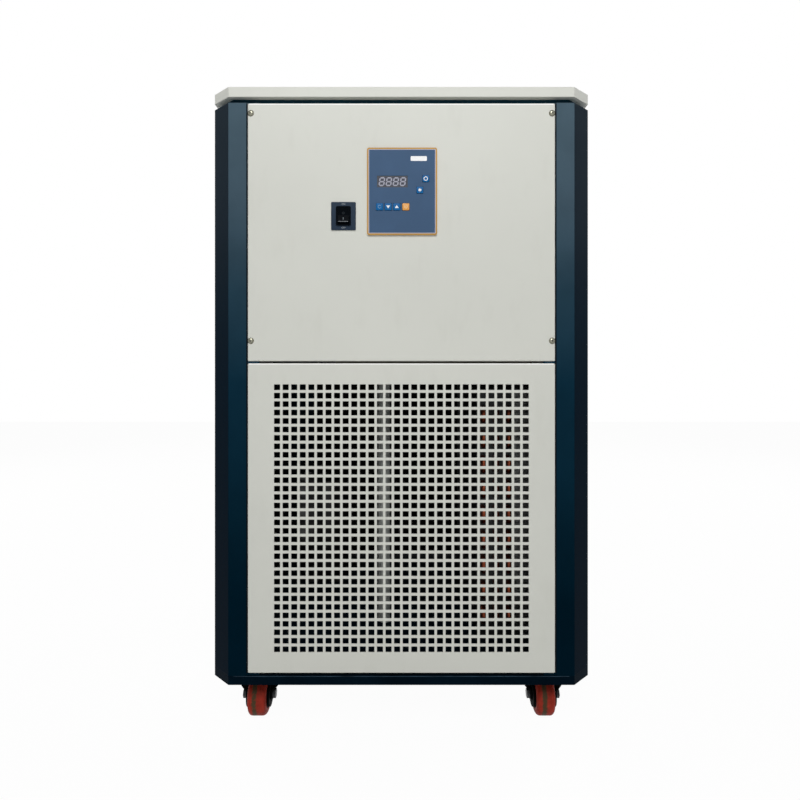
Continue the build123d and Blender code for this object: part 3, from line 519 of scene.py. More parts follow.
# Screen print on polycarbonate film: flat colour under a fine matt grain, with hardly any shine.
field_print = finish("blue_matt_print", "405b7b", 0.5, spread=0.06, cloud=50, grain=0.6, shine=0.15)
gold_print = finish("gold_print", "bf9148", 0.42, spread=0.08, grain=0.6, shine=0.2)
pale_print = finish("pale_print", "b0b3c4", 0.5, spread=0.03, grain=0.6)
white_print = finish("white_print", "fcfcfc", 0.45, spread=0.01, grain=0.6)

fascia_place, rim, fascia_depth = front_of("control_fascia")
fascia_holes = [hole_at("display_module", "control_fascia", HOLE_EASE)]
fascia_holes += [hole_at(name, "control_fascia", KEY_HOLE_EASE) for name in KEY_NAMES]
field_size = rim - 2 * (GOLD_WIDTH - RIM_OVERLAP)
field_depth = fascia_depth - RIM_PROUD - FIELD_FOLD
points, faces = folded_sheet(*field_size, fascia_holes, FIELD_FOLD, field_depth)
plate_at = fascia_place + (0, RIM_PROUD, 0)
replaced = ("control_fascia",)
piece = build("key_panel_plate", points + plate_at, faces, field_print, "root", "fascia_blue", replaced)
thicken(piece, PLATE_WALL)


def rounded_path(width, height, corner):
    """Walk round a rectangle with round corners: each corner's middle plus its radius at a turning angle."""
    angle = (np.arange(4)[:, None] * pi / 2 + np.linspace(0, pi / 2, PATH_CORNER_STEPS + 1)).ravel()
    sign_x = np.repeat([1, -1, -1, 1], PATH_CORNER_STEPS + 1)
    sign_z = np.repeat([1, 1, -1, -1], PATH_CORNER_STEPS + 1)
    x = sign_x * (width / 2 - corner) + corner * np.cos(angle)
    z = sign_z * (height / 2 - corner) + corner * np.sin(angle)
    return np.stack([x, z], 1)


def frame_line(name, place, size, corner, breadth, material, slot, lift=PRINT_LIFT):
    """Print a line round a rectangle on a face: the outer path joined to the same path moved inward."""
    points = np.zeros((2, PATH_POINTS, 3))
    points[0][:, [0, 2]] = rounded_path(*size, corner)
    points[1][:, [0, 2]] = rounded_path(*(size - 2 * breadth), max(corner - breadth, SMALLEST_CORNER))
    faces = grid_faces(2, PATH_POINTS, closed=True)
    line = build(name, points + place - (0, lift, 0), faces, material, "root", slot, flat=True)
    thicken(line, lift)


def printed(name, shapes, depth, material, body="root", slot="fascia_blue"):
    """Print flat shapes, outlines of X and Z, on a face at a depth, or at a depth worked out from Z."""
    shapes = [np.asarray(shape, float) for shape in shapes]
    depths = [depth(shape[:, 1]) if callable(depth) else np.full(len(shape), depth) for shape in shapes]
    points = [np.stack([x[:, 0], y - PRINT_LIFT, x[:, 1]], 1) for x, y in zip(shapes, depths)]
    counts = [len(shape) for shape in shapes]
    starts = np.cumsum([0, *counts[:-1]])
    faces = [np.arange(start, start + count) for start, count in zip(starts, counts)]
    piece = build(name, np.vstack(points), faces, material, body, slot, flat=True, merge=PRINT_MERGE)
    thicken(piece, PRINT_LIFT)


rim_back = fascia_place + (0, fascia_depth, 0)
frame_line("gold_rim", rim_back, rim, FASCIA_CORNER, GOLD_WIDTH, gold_print, "fascia_blue", fascia_depth)
frame_line("pale_line", plate_at, rim - 2 * GOLD_WIDTH, PALE_CORNER, PALE_WIDTH, pale_print, "fascia_blue")
label = rounded_path(*LABEL_SIZE, LABEL_CORNER) + LABEL_PLACE
printed("white_label", [label], plate_at[1], white_print)

# Painted highlight on the top edge of the base pan
# A grey-blue strip in patches along the edge stands in for the light caught by its rounded fold.
EDGE_SPREAD = 262 * MM
EDGE_BREADTH = 0.9 * MM
EDGE_DROP = 0.09 * MM


def rectangle(left, bottom, right, top):
    """Outline a rectangle by its corners."""
    return [(left, bottom), (right, bottom), (right, top), (left, top)]


# Painted highlight: dark and paler grey-blue patches close together, with no shine.
edge_highlight_coat = finish("painted_edge_highlight", "2a3d4c", 0.5, spread=0.7, cloud=28, shine=0.1)
pan_low, pan_high = box_of("base_pan")
edge_top = pan_high[2] - EDGE_DROP
edge_shape = rectangle(-EDGE_SPREAD, edge_top - EDGE_BREADTH, EDGE_SPREAD, edge_top)
printed("pan_edge_highlight", [edge_shape], pan_low[1], edge_highlight_coat, slot="base_black")

# Panel edges
# Painted shade fills the gaps beside the panels, and a painted highlight lies along each top fold.
# The shade strips lie just behind the panels' faces, the highlights are thin white strips on the bend.
GAP_SHADE_INNER = 240.1 * MM
GAP_SHADE_OUTER = 242.9 * MM
GAP_SHADE_SET_BACK = 0.7 * MM
FOLD_REACH = 237.5 * MM
FOLD_TOP = 0.5 * MM
FOLD_BREADTH = 2.0 * MM

# The painted gap shade is dead black, and the painted highlight on a bend is a thin bright line.
gap_shade_paint = finish("painted_gap_shade", "050507", 0.8, spread=0.1, grain=1, relief=0.2, shine=0.1)
fold_highlight_paint = finish("painted_fold_highlight", "fbfbf8", 0.4, spread=0.02, cloud=30, grain=1)

# Painted shade: dead black strips in the gaps beside the panels.
gap_low = box_of("lower_grille_panel")[0][2]
gap_high = box_of("upper_front_panel")[1][2]
gap_shades = [rectangle(side * GAP_SHADE_INNER, gap_low, side * GAP_SHADE_OUTER, gap_high) for side in (-1, 1)]
printed("painted_gap_shades", gap_shades, panel_front + GAP_SHADE_SET_BACK, gap_shade_paint, slot="rubber")
# Painted highlight: a thin white strip along each panel's top fold, for the light it catches.
fold_tops = [box_of(name)[1][2] - FOLD_TOP for name in ("lower_grille_panel", "upper_front_panel")]
folds = [rectangle(-FOLD_REACH, top - FOLD_BREADTH, FOLD_REACH, top) for top in fold_tops]
printed("painted_fold_highlights", folds, panel_front, fold_highlight_paint, slot="painted_cream")

# Display
# Four slanted seven-segment digits behind a smoked window, unlit, so the segments are only a paler grey.
# The window's dark frame is the edge of the module.
DIGIT_COUNT = 4
DIGIT_PITCH = 10.9 * MM
DIGIT_WIDTH = 9.2 * MM
DIGIT_HEIGHT = 13.9 * MM
SEGMENT_WIDTH = 2.1 * MM
SEGMENT_GAP = 0.3 * MM
DIGIT_SLANT = 0.14
WINDOW_EDGE = 1.0 * MM
WINDOW_CORNER = 0.5 * MM

# Smoked acrylic keeps a smooth grey shine, and the segments under it are dull and pale.
smoked = finish("smoked_window", "4a4c56", 0.22, spread=0.03, grain=1, shine=0.2)
segment_grey = finish("unlit_segments", "a9aab8", 0.35, spread=0.03, grain=1, shine=0.2)
edge_dark = finish("window_edge", "34363d", 0.35, spread=0.05, grain=1)
dress("display_module", smoked)
window_place, window_size, _ = front_of("display_module")


def segment(start, end, breadth):
    """Outline one segment: a bar from start to end with pointed ends."""
    start, end = np.asarray(start), np.asarray(end)
    along = (end - start) / np.linalg.norm(end - start)
    across = np.array([-along[1], along[0]]) * breadth / 2
    tip = along * breadth / 2
    upper, lower = [start + tip + across, end - tip + across], [end - tip - across, start + tip - across]
    return np.array([start, *upper, end, *lower])


half_w, half_h = DIGIT_WIDTH / 2 - SEGMENT_WIDTH / 2, DIGIT_HEIGHT / 2 - SEGMENT_WIDTH / 2
bar = half_w - SEGMENT_GAP
digit = [segment((-bar, z), (bar, z), SEGMENT_WIDTH) for z in (-half_h, 0, half_h)]
digit += [
    segment((x, z + SEGMENT_GAP), (x, z + half_h - SEGMENT_GAP), SEGMENT_WIDTH)
    for x in (-half_w, half_w)
    for z in (-half_h, 0)
]
digit = np.array(digit)
digit[..., 0] += DIGIT_SLANT * digit[..., 1]
shifts = (np.arange(DIGIT_COUNT) - (DIGIT_COUNT - 1) / 2) * DIGIT_PITCH
segments = np.concatenate([digit + (window_place[[0, 2]] + (shift, 0)) for shift in shifts])
printed("display_segments", segments, window_place[1], segment_grey, slot="display")
frame_line("window_edge_line", window_place, window_size, WINDOW_CORNER, WINDOW_EDGE, edge_dark, "display")

# Keys
# Moulded caps that stand a millimetre out of the plate, five blue and one orange, with rounded edges.
# Their signs are printed: two triangles, a loop, a star, and faint ones on set and run.
KEY_CORNER = 1.5 * MM
KEY_EASE = 0.7 * MM
KEY_SKIRT = 1.8 * MM
KEY_ROUND = 0.1 * MM
EASE_STEPS = 4
RING_STEPS = 24
BAR = np.array(rectangle(-0.4, -1.2, 0.4, 1.2)) * MM
FAINT_RING = (2.6 * MM, 0.6 * MM)
LOOP_RING = (3.3 * MM, 1.0 * MM)
STAR_SIZE = (3.2 * MM, 1.5 * MM)
SET_START = 0.6
RUN_START = 2.2
OPEN_SWEEP = 5.0

# Moulded ABS: an even colour with a fine spark grain, and a soft light along the rounded edges.
blue_key = finish("blue_abs_key", "00609d", 0.33, spread=0.06, cloud=8, grain=0.5, shine=0.15)
orange_key = finish("orange_abs_key", "e29a3a", 0.36, spread=0.06, cloud=8, grain=0.5)
faint_print = finish("faint_print", "7fa6c8", 0.5, spread=0.03, grain=0.6)
cream_print = finish("cream_print", "f4d9ae", 0.5, spread=0.03, grain=0.6)


def capped(name, place, size, corner, profile, material, body, slot, replaced=()):
    """Build a plate with round corners: a profile of inset and depth carried round it, closed at its ends."""
    points = np.zeros((len(profile), PATH_POINTS, 3))
    for ring, (inset, depth) in zip(points, profile):
        ring[:, [0, 2]] = rounded_path(*(size - 2 * inset), max(corner - inset, KEY_ROUND))
        ring[:, 1] = depth
    faces = list(grid_faces(len(profile), PATH_POINTS, closed=True))
    ends = np.arange(PATH_POINTS)
    faces += [ends, ends + PATH_POINTS * (len(profile) - 1)]
    return build(name, points + place, faces, material, body, slot, replaced, sharp=ROUND_SHARP_ANGLE)


def eased(ease, depth):
    """Give an eased plate's profile: a quarter circle at its front edge, then straight back to its depth."""
    angles = np.linspace(pi / 2, 0, EASE_STEPS + 1)
    return [(ease * (1 - cos(angle)), ease * (1 - sin(angle))) for angle in angles] + [(0.0, depth)]


def ring_sign(radius, breadth, start=0.0, sweep=2 * pi):
    """Outline a ring as short arcs: the quads between an outer and an inner circle."""
    angle = start + np.linspace(0, sweep, RING_STEPS + 1)
    outer = radius * np.stack([np.cos(angle), np.sin(angle)], 1)
    inner = outer * (1 - breadth / radius)
    return list(np.stack([outer[:-1], outer[1:], inner[1:], inner[:-1]], 1))


def star(count, reach, waist):
    """Outline a star: points at even angles, at its reach and its waist in turn."""
    angle = np.arange(2 * count) * pi / count
    radius = np.where(np.arange(2 * count) % 2 == 0, reach, waist)[:, None]
    return radius * np.stack([np.sin(angle), np.cos(angle)], 1)


signs = {
    "set_key": (ring_sign(*FAINT_RING, SET_START, OPEN_SWEEP), faint_print),
    "down_key": ([np.array([(-3.0, 1.9), (0, -2.4), (3.0, 1.9)]) * MM], white_print),
    "up_key": ([np.array([(-3.0, -1.9), (3.0, -1.9), (0, 2.4)]) * MM], white_print),
    "run_key": (ring_sign(*FAINT_RING, RUN_START, OPEN_SWEEP) + [BAR], cream_print),
    "pump_key": (ring_sign(*LOOP_RING), white_print),
    "cooling_key": ([star(6, *STAR_SIZE)], white_print),
}
for name in KEY_NAMES:
    place, size, depth = front_of(name)
    place += (0, PRINT_LIFT, 0)
    paint, slot = (orange_key, "key_orange") if name == "run_key" else (blue_key, "key_blue")
    profile = eased(KEY_EASE, depth - PRINT_LIFT)
    capped(f"{name}_cap", place, size - KEY_SKIRT, KEY_CORNER, profile, paint, name, slot, (name,))
    shapes, ink = signs[name]
    printed(f"{name}_sign", [shape + place[[0, 2]] for shape in shapes], place[1], ink, name, slot)

# Circuit board behind the key panel
# Glass epoxy with green solder mask, which reads as a deep green gloss.
# It is clipped to the back of the plate and hidden once the panel is on.
solder_mask = finish("green_solder_mask", "1d4d2e", 0.35, spread=0.1, cloud=10, grain=1)
dress("control_board", solder_mask)

# Power switch
# A moulded plate with a snap-in housing and a rocker pressed at its top, so that its lower end stands out.
# Grey-blue matt plate, glossy black nylon housing and rocker, with ON above and OFF below.
PLATE_CORNER = 1.6 * MM
PLATE_EASE = 0.6 * MM
WORD_HEIGHT = 2.6 * MM
CAP_SHARE = 0.7

# Spark eroded ABS is matt, and the nylon parts are darker with a soft gloss. The marks are worn print.
plate_plastic = finish(
    "grey_abs_plate", "263445", 0.5, spread=0.05, cloud=12, grain=0.5, relief=0.2, shine=0.1
)
nylon = finish("black_nylon", "04080e", 0.3, spread=0.2, cloud=10, grain=0.6, edge=0.5, IOR=1.08)
mark_print = finish("grey_mark", "9aa1a6", 0.5, spread=0.02, grain=0.5)

plate_place, plate_size, plate_depth = front_of("switch_plate")
profile = eased(PLATE_EASE, plate_depth)
face = (plate_place, plate_size, PLATE_CORNER, profile, plate_plastic)
capped("switch_plate_moulding", *face, "root", "switch_plate", ("switch_plate",))
dress("rocker_housing", nylon)
dress("rocker", nylon)


def points_of(mesh):
    """Read the points of a mesh as an array of X, Y and Z."""
    places = np.empty(len(mesh.vertices) * 3)
    mesh.vertices.foreach_get("co", places)
    return places.reshape(-1, 3)


def lettering(name, words, height, place, depth, material, body, slot):
    """Set words as a flat print on a face that looks out of the front."""
    curve = bpy.data.curves.new(name, "FONT")
    curve.body = words
    curve.size = height / CAP_SHARE
    curve.align_x = "CENTER"
    curve.align_y = "CENTER"
    holder = bpy.data.objects.new(name + "_curve", curve)
    bpy.context.scene.collection.objects.link(holder)
    flat = bpy.data.meshes.new_from_object(holder.evaluated_get(bpy.context.evaluated_depsgraph_get()))
    bpy.data.objects.remove(holder)
    x, up, _ = points_of(flat).T
    points = np.stack([x + place[0], np.full(len(x), depth - PRINT_LIFT), up + place[1]], 1)
    faces = [list(face.vertices) for face in flat.polygons]
    piece = build(name, points, faces, material, body, slot, flat=True, merge=PRINT_MERGE)
    thicken(piece, PRINT_LIFT)


for word, end in (("ON", 1), ("OFF", 0)):
    name = f"{word.lower()}_word"
    place = (plate_place[0], (box_of("switch_plate")[end][2] + box_of("rocker_housing")[end][2]) / 2)
    lettering(name, word, WORD_HEIGHT, place, plate_place[1], mark_print, "root", "switch_plate")

ROCKER_HEIGHTS = np.array([798.96, 809.68, 821.1]) * MM
ROCKER_DEPTHS = np.array([-326.29, -322.37, -322.39]) * MM
RIDGE = np.array(rectangle(-98.0, 799.3, -82.6, 800.2)) * MM
ONE_MARK = np.array(rectangle(-90.9, 802.8, -89.7, 806.4)) * MM
ZERO_PLACE = (-90.3 * MM, 813.5 * MM)
ZERO_RADIUS = 1.8 * MM
ZERO_BREADTH = 0.5 * MM


def rocker_face(height):
    """Give the depth of the rocker's face at a height: straight between its tip, its middle and its top."""
    return np.interp(height, ROCKER_HEIGHTS, ROCKER_DEPTHS)


# Painted highlight: a grey strip along the rocker's lower tip, for the light it catches from above.
ridge_highlight = finish("painted_ridge_highlight", "4a5156", 0.4, spread=0.2, cloud=4, grain=0.6)
worn_mark = finish("worn_mark", "6b7378", 0.5, spread=0.1, grain=0.5, shine=0.1)
faded_mark = finish("faded_mark", "2c3338", 0.5, spread=0.05, grain=0.5, shine=0.1)
printed("rocker_ridge_highlight", [RIDGE], rocker_face, ridge_highlight, "rocker", "switch_black")
printed("rocker_one", [ONE_MARK], rocker_face, worn_mark, "rocker", "switch_black")
zero = [arc + ZERO_PLACE for arc in ring_sign(ZERO_RADIUS, ZERO_BREADTH)]
printed("rocker_zero", zero, rocker_face, faded_mark, "rocker", "switch_black")

# Casters
# A polyurethane tread moulded on a black nylon core, in a fork of 2.5 mm steel pressed to a U, painted black.
# The tread is worn grey-green where it has rolled, its rims are well rounded, and a blackened axle holds it.
TREAD_ROUND = 7 * MM
CORE_RADIUS = 22 * MM
CORE_STEP = 1.2 * MM
CORE_LIP = 2 * MM
HUB_SLOPE = 1 * MM
HUB_RADIUS = 9 * MM
BORE_RADIUS = 5.1 * MM
WHEEL_STEPS = 64
CROWN_POINTS = 9
WEAR_DEPTH = 2 * MM
WEAR_OFFSET = -3 * MM
WEAR_WIDTH = 4 * MM
WEAR_SPECK = 4 * MM
WEAR_TONE = "453c28"
FORK_SHEET = 2.5 * MM
LEG_REACH = 21.5 * MM
EYE_RADIUS = 10 * MM
BEND_START = 36 * MM
BEND_END = 50 * MM
CROWN_HALF = 26 * MM
CROWN_ROUND = 6 * MM
CROWN_STEPS = 5
LEG_STEPS = 8
TAPER_END = 64 * MM
TOE_HALF = 0.3 * MM
STRIP_POINTS = 7
GUARD_GAP = 0.6 * MM
GUARD_WALL = 3.2 * MM
GUARD_RADIUS = 20 * MM
WHEEL_CORNERS = ("front_left", "front_right", "rear_left", "rear_right")

# Sprayed black enamel on the forks, a dark oiled metal for the axles, a bright grey one where it is plated,
# and moulded nylon that takes nearly all the light.
fork_paint = finish("black_painted_steel", "040506", 0.42, spread=0.3, cloud=15, edge=0.8, IOR=1.1)
black_steel = finish("black_oxide_steel", "2c2d2e", 0.34, spread=0.2, cloud=5, edge=0.6, Metallic=1.0)
zinc = finish("zinc_plated_steel", "a2a5a4", 0.32, spread=0.1, cloud=6, grain=0.8, edge=0.4, Metallic=1.0)
core_nylon = finish("black_nylon_core", "060606", 0.65, spread=0.1, cloud=10, IOR=1.1)


def tread_finish():
    """Make the tread: red polyurethane with a worn grey-green band near its middle, broken up by specks."""
    material = finish(
        "red_polyurethane", "9a3022", 0.55, spread=0.2, cloud=9, grain=1.2, relief=0.25, shine=0.1
    )
    tree, shader, tones, place = opened(material)
    band = add_node(tree, "Attribute", attribute_name="wear")
    speckle = {"Vector": place.outputs["Object"], "Scale": 1 / WEAR_SPECK, "Detail": 4.0}
    specks = add_node(tree, "TexNoise", speckle)
    worn = add_node(
        tree, "Math", {0: band.outputs["Fac"], 1: specks.outputs["Fac"], 2: -0.02}, operation="MULTIPLY_ADD"
    )
    share = add_node(
        tree, "MapRange", {"Value": worn.outputs["Value"], "From Min": 0.1, "From Max": 0.3, "To Max": 0.95}
    )
    dirty = add_node(
        tree, "Mix", {0: share.outputs["Result"], 6: tones, 7: linear(WEAR_TONE)}, data_type="RGBA"
    )
    tree.links.new(dirty.outputs[2], shader.inputs["Base Color"])
    return material


tread_red = tread_finish()


def caster_wheel(corner):
    """Turn the tread, flat between two round shoulders, and the core with its stepped sides, about X."""
    node_name = f"caster_wheel_{corner}"
    body = f"wheel_{corner}"
    low, high = box_of(node_name)
    centre = (low + high) / 2
    radius, half = centre[2], (high[0] - low[0]) / 2
    quarter = np.linspace(0, pi / 2, QUARTER_STEPS + 1)
    turn_in = np.stack([1 - np.sin(quarter), 1 - np.cos(quarter)], 1)
    shoulder = (radius, half) - TREAD_ROUND * turn_in
    flat = np.linspace(1, -1, CROWN_POINTS)[1:-1] * (half - TREAD_ROUND)
    crown = np.stack([np.full(len(flat), radius), flat], 1)
    rim = np.array([(CORE_RADIUS, half)])
    right = np.vstack([rim, shoulder])
    profile = np.vstack([right, crown, (right * (1, -1))[::-1], rim])
    points, faces = turned(profile, centre, "x", WHEEL_STEPS)
    tread = build(f"tread_{corner}", points, faces, tread_red, body, "tread_red", (node_name,))
    x, y, z = (points_of(tread.data) - centre).T
    rolled = np.clip((np.hypot(y, z) - radius + WEAR_DEPTH) / WEAR_DEPTH, 0, 1)
    wear = tread.data.attributes.new("wear", "FLOAT", "POINT")
    wear.data.foreach_set("value", np.exp(-(((x - WEAR_OFFSET) / WEAR_WIDTH) ** 2)) * rolled)
    step = half - CORE_STEP
    sides = np.array(
        [
            (BORE_RADIUS, half),
            (HUB_RADIUS, half),
            (HUB_RADIUS + HUB_SLOPE, step),
            (CORE_RADIUS - CORE_LIP, step),
            (CORE_RADIUS, half),
        ]
    )
    profile = np.vstack([sides, (sides * (1, -1))[::-1], sides[:1]])
    points, faces = turned(profile, centre, "x", WHEEL_STEPS)
    build(f"wheel_core_{corner}", points, faces, core_nylon, body, "switch_black")


def caster_fork(corner):
    """Carry a strip along a U: up one leg, out through the bend, over the crown and down the other leg.

    The strip's front and back edges go from a half circle round the axle to the crown's full depth.
    """
    node_name = f"caster_fork_{corner}"
    low, high = box_of(node_name)
    middle_x = (low[0] + high[0]) / 2
    axle = sum(box_of(f"caster_axle_{corner}")) / 2
    top_reach = (high[0] - low[0]) / 2
    foot = np.linspace(pi, pi / 2, LEG_STEPS + 1)
    leg = np.linspace(BEND_START, BEND_END, LEG_STEPS + 1)
    leg_z = np.concatenate([axle[2] + EYE_RADIUS * np.cos(foot), leg])
    bend = np.clip((leg_z - BEND_START) / (BEND_END - BEND_START), 0, 1)
    leg_x = LEG_REACH + (top_reach - LEG_REACH) * (1 - np.cos(bend * pi)) / 2
    corner_angle = np.linspace(0, pi / 2, CROWN_STEPS + 1)
    leg_x = np.concatenate([leg_x, top_reach - CROWN_ROUND * (1 - np.cos(corner_angle)), [0.0]])
    leg_z = np.concatenate([leg_z, high[2] - CROWN_ROUND * (1 - np.sin(corner_angle)), [high[2]]])
    rise = np.clip((leg_z - axle[2]) / (TAPER_END - axle[2]), 0, 1)
    swivel_y = high[1] - CROWN_HALF
    half_depth = EYE_RADIUS + (CROWN_HALF - EYE_RADIUS) * rise
    below = np.clip((axle[2] - leg_z) / EYE_RADIUS, 0, 1)
    half_depth = half_depth * np.sqrt(1 - below**2) + TOE_HALF * (below == 1)
    middle_y = axle[1] + (swivel_y - axle[1]) * rise
    half_depth = np.minimum(half_depth, middle_y - low[1])
    path = np.stack([leg_x, leg_z, middle_y, half_depth], 1)
    path = np.vstack([path, (path * (-1, 1, 1, 1))[-2::-1]])
    across = np.linspace(-1, 1, STRIP_POINTS)
    grid = np.stack(
        [
            np.repeat(path[:, :1], STRIP_POINTS, 1) + middle_x,
            path[:, 2:3] + path[:, 3:4] * across,
            np.repeat(path[:, 1:2], STRIP_POINTS, 1),
        ],
        -1,
    )
    body = f"swivel_{corner}"
    faces = grid_faces(*grid.shape[:2])
    fork = build(f"fork_{corner}", grid, faces, fork_paint, body, "caster_black", (node_name,))
    thicken(fork, FORK_SHEET)


def thread_guards(corner):
    """Turn the two flat discs that keep threads off the axle, between the wheel and the legs, about X."""
    low, high = box_of(f"caster_wheel_{corner}")
    half = (high[0] - low[0]) / 2 + GUARD_GAP
    outer = half + GUARD_WALL
    profile = np.array(rectangle(BORE_RADIUS, half, GUARD_RADIUS, outer))
    profile = np.vstack([profile, profile[:1]])
    right, faces = turned(profile, (low + high) / 2, "x", TURN_STEPS)
    left = turned(profile * (1, -1), (low + high) / 2, "x", TURN_STEPS)[0]
    points = np.vstack([right.reshape(-1, 3), left.reshape(-1, 3)])
    faces = np.vstack([faces, faces + right.size // 3])
    build(f"thread_guards_{corner}", points, faces, core_nylon, f"swivel_{corner}", "caster_black")


for corner in WHEEL_CORNERS:
    caster_wheel(corner)
    caster_fork(corner)
    thread_guards(corner)
    dress(f"caster_axle_{corner}", black_steel)
dress("caster_plates", fork_paint)

# Tank, its jacket and its shelf
# The bath is folded and welded stainless steel in a jacket of rigid foam, on a zinc plated shelf.
# Its lid rests in the mouth on top of the cap, and has a bow of bent strip to lift it by.

# Brushed steel draws its light out along the grain. The foam is yellowish, dry and pitted.
stainless = finish(
    "brushed_stainless", "bfc1bf", 0.26, spread=0.06, cloud=20, grain=0.7, edge=0.6, drawn=(1, 0.05, 1),
    Metallic=1.0,
)
foam = finish("rigid_foam", "cbbf98", 0.9, spread=0.08, cloud=12, grain=1.5, relief=0.4)
for name in ("tank", "tank_lid", "lid_handle"):
    dress(name, stainless)
dress("tank_insulation", foam)
dress("tank_shelf", zinc)

# Condenser
# Aluminium fins between two end plates, threaded by copper tubes in three columns.
# The tubes are joined in pairs by round return bends, brazed on, whose tops catch a little light.
BEND_COLUMNS = 3
BEND_ROWS = 9
TUBE_RADIUS = 4.75 * MM
TUBE_STEPS = 12
BEND_PITCH = 44 * MM
COLUMN_PITCH = 22 * MM
ARC_STEPS = 12
BEND_SHARP_ANGLE = 60

# Copper dulled by brazing glows red-brown, and the fins are a dark grey metal with fine upright lines.
copper = finish("brazed_copper", "8a4630", 0.34, spread=0.3, cloud=14, grain=1, Metallic=1.0)
fin_metal = finish(
    "aluminium_fins", "3a3c3d", 0.5, spread=0.2, cloud=30, grain=2.5, relief=0.6, drawn=(1, 1, 0.02),
    Metallic=1.0,
)
dress("condenser_fins", fin_metal)


def tube_along(path, radius):
    """Carry a circle along a path in a plane of constant X, square to the path at every point."""
    ahead = np.gradient(path, axis=0)
    ahead /= np.linalg.norm(ahead, axis=1)[:, None]
    side = np.array([1.0, 0.0, 0.0])
    up = np.cross(ahead, side)
    angle = (np.arange(TUBE_STEPS) * 2 * pi / TUBE_STEPS)[None, :, None]
    return path[:, None, :] + radius * (np.cos(angle) * side + np.sin(angle) * up[:, None, :])


bends_low, bends_high = box_of("condenser_bends")
bends_middle = (bends_low + bends_high) / 2
bend_radius = COLUMN_PITCH / 2
run = bends_high[1] - bends_low[1] - TUBE_RADIUS - bend_radius
arc = np.linspace(pi / 2, -pi / 2, ARC_STEPS + 1)
bend_y = np.concatenate([[0.0], -run - bend_radius * np.cos(arc), [0.0]])
bend_z = np.concatenate([[bend_radius], bend_radius * np.sin(arc), [-bend_radius]])
one_bend = tube_along(np.stack([np.zeros(len(bend_y)), bend_y, bend_z], 1), TUBE_RADIUS)
column, row = (values.ravel() for values in np.meshgrid(np.arange(BEND_COLUMNS), np.arange(BEND_ROWS)))
bend_places = np.stack(
    [
        bends_middle[0] + (column - (BEND_COLUMNS - 1) / 2) * COLUMN_PITCH,
        np.full(len(column), bends_high[1]),
        bends_middle[2] + (row - (BEND_ROWS - 1) / 2) * BEND_PITCH,
    ],
    1,
)
bend_points = bend_places[:, None, None, :] + one_bend
bend_size = one_bend.shape[0] * TUBE_STEPS
starts = np.arange(len(bend_places)) * bend_size
bend_faces = (starts[:, None, None] + grid_faces(one_bend.shape[0], TUBE_STEPS, closed=True)).reshape(-1, 4)
ends = np.concatenate([np.arange(TUBE_STEPS), bend_size - TUBE_STEPS + np.arange(TUBE_STEPS)]).reshape(2, -1)
end_faces = (starts[:, None, None] + ends).reshape(-1, TUBE_STEPS)
faces = [*bend_faces, *end_faces]
replaced = ("condenser_bends",)
build("return_bends", bend_points, faces, copper, "root", "copper", replaced, BEND_SHARP_ANGLE)

# Compressor, fan, exchanger and pump
# Black enamelled shell on rubber feet, a plated shroud with a moulded fan, a brazed plate exchanger
# and a grey enamelled pump. They are dark behind the panels, but finished as they would be on a bench.

# Enamel is smooth with a clear shine, rubber dull, glass-filled nylon grey-black and soft PVC milky.
enamel = finish("black_enamel", "0b0b0b", 0.3, spread=0.2, cloud=40, edge=1.5)
rubber = finish("black_rubber", "161616", 0.8, spread=0.1, grain=1, relief=0.3)
grey_enamel = finish("grey_enamel", "55585a", 0.4, spread=0.08, cloud=25, edge=0.8)
glass_nylon = finish("black_glass_nylon", "131313", 0.5, spread=0.1, grain=0.8, edge=0.6)
hose_vinyl = finish("grey_pvc_hose", "b9bdb9", 0.45, spread=0.08, cloud=10, drawn=(1, 1, 0.2))
inside = {"compressor": enamel, "compressor_feet": rubber, "fan_shroud": zinc, "fan_motor": grey_enamel}
inside |= {"circulation_pump": grey_enamel, "fan_impeller": glass_nylon}
inside |= {"heat_exchanger": stainless, "drain_hose": hose_vinyl}
for name, material in inside.items():
    dress(name, material)

# Rear connections
# Two stainless hose nozzles, a brass drain valve with a blue dipped lever, and a nylon cable gland.
# All of them are turned or moulded and screwed up against the rear panel.

# Turned brass is bright yellow, dipped vinyl is thick, rounded and half glossy, nylon dark and even.
brass = finish("turned_brass", "b4944e", 0.28, spread=0.08, cloud=8, edge=0.4, Metallic=1.0)
vinyl_dip = finish("blue_vinyl_dip", "16447c", 0.4, spread=0.06, cloud=8, edge=0.6)
gland_nylon = finish("black_nylon_gland", "0e0e0e", 0.5, spread=0.1, grain=0.7, edge=0.5)
outside = {"supply_port": stainless, "return_port": stainless, "drain_valve": brass}
outside |= {"drain_lever": vinyl_dip, "cable_gland": gland_nylon}
for name, material in outside.items():
    dress(name, material)

# Floor
# A plain pale studio floor, a plastered sheet that fades into the white room.
# It is white to the eye, to metal and to glass, and keeps a faint shadow of the cabinet.
FLOOR_SIZE = 8.0
FLOOR_DROP = 0.5 * MM
FLOOR_SHARE = 0.97
FLOOR_POINTS = 5

# Matt white paint on plaster, with no shine of its own.
floor_paint = finish("white_floor", "efefed", 0.8, spread=0.01, cloud=200, grain=3, relief=0.02)


def seen_as_white(tree):
    """Add up the rays that should meet plain white: the eye's own, mirrored ones and ones through glass."""
    ray = add_node(tree, "LightPath")
    direct = {0: ray.outputs["Is Camera Ray"], 1: ray.outputs["Is Glossy Ray"]}
    mirrored = add_node(tree, "Math", direct, operation="ADD")
    through = {0: mirrored.outputs["Value"], 1: ray.outputs["Is Transmission Ray"]}
    return add_node(tree, "Math", through, operation="ADD", use_clamp=True).outputs["Value"]


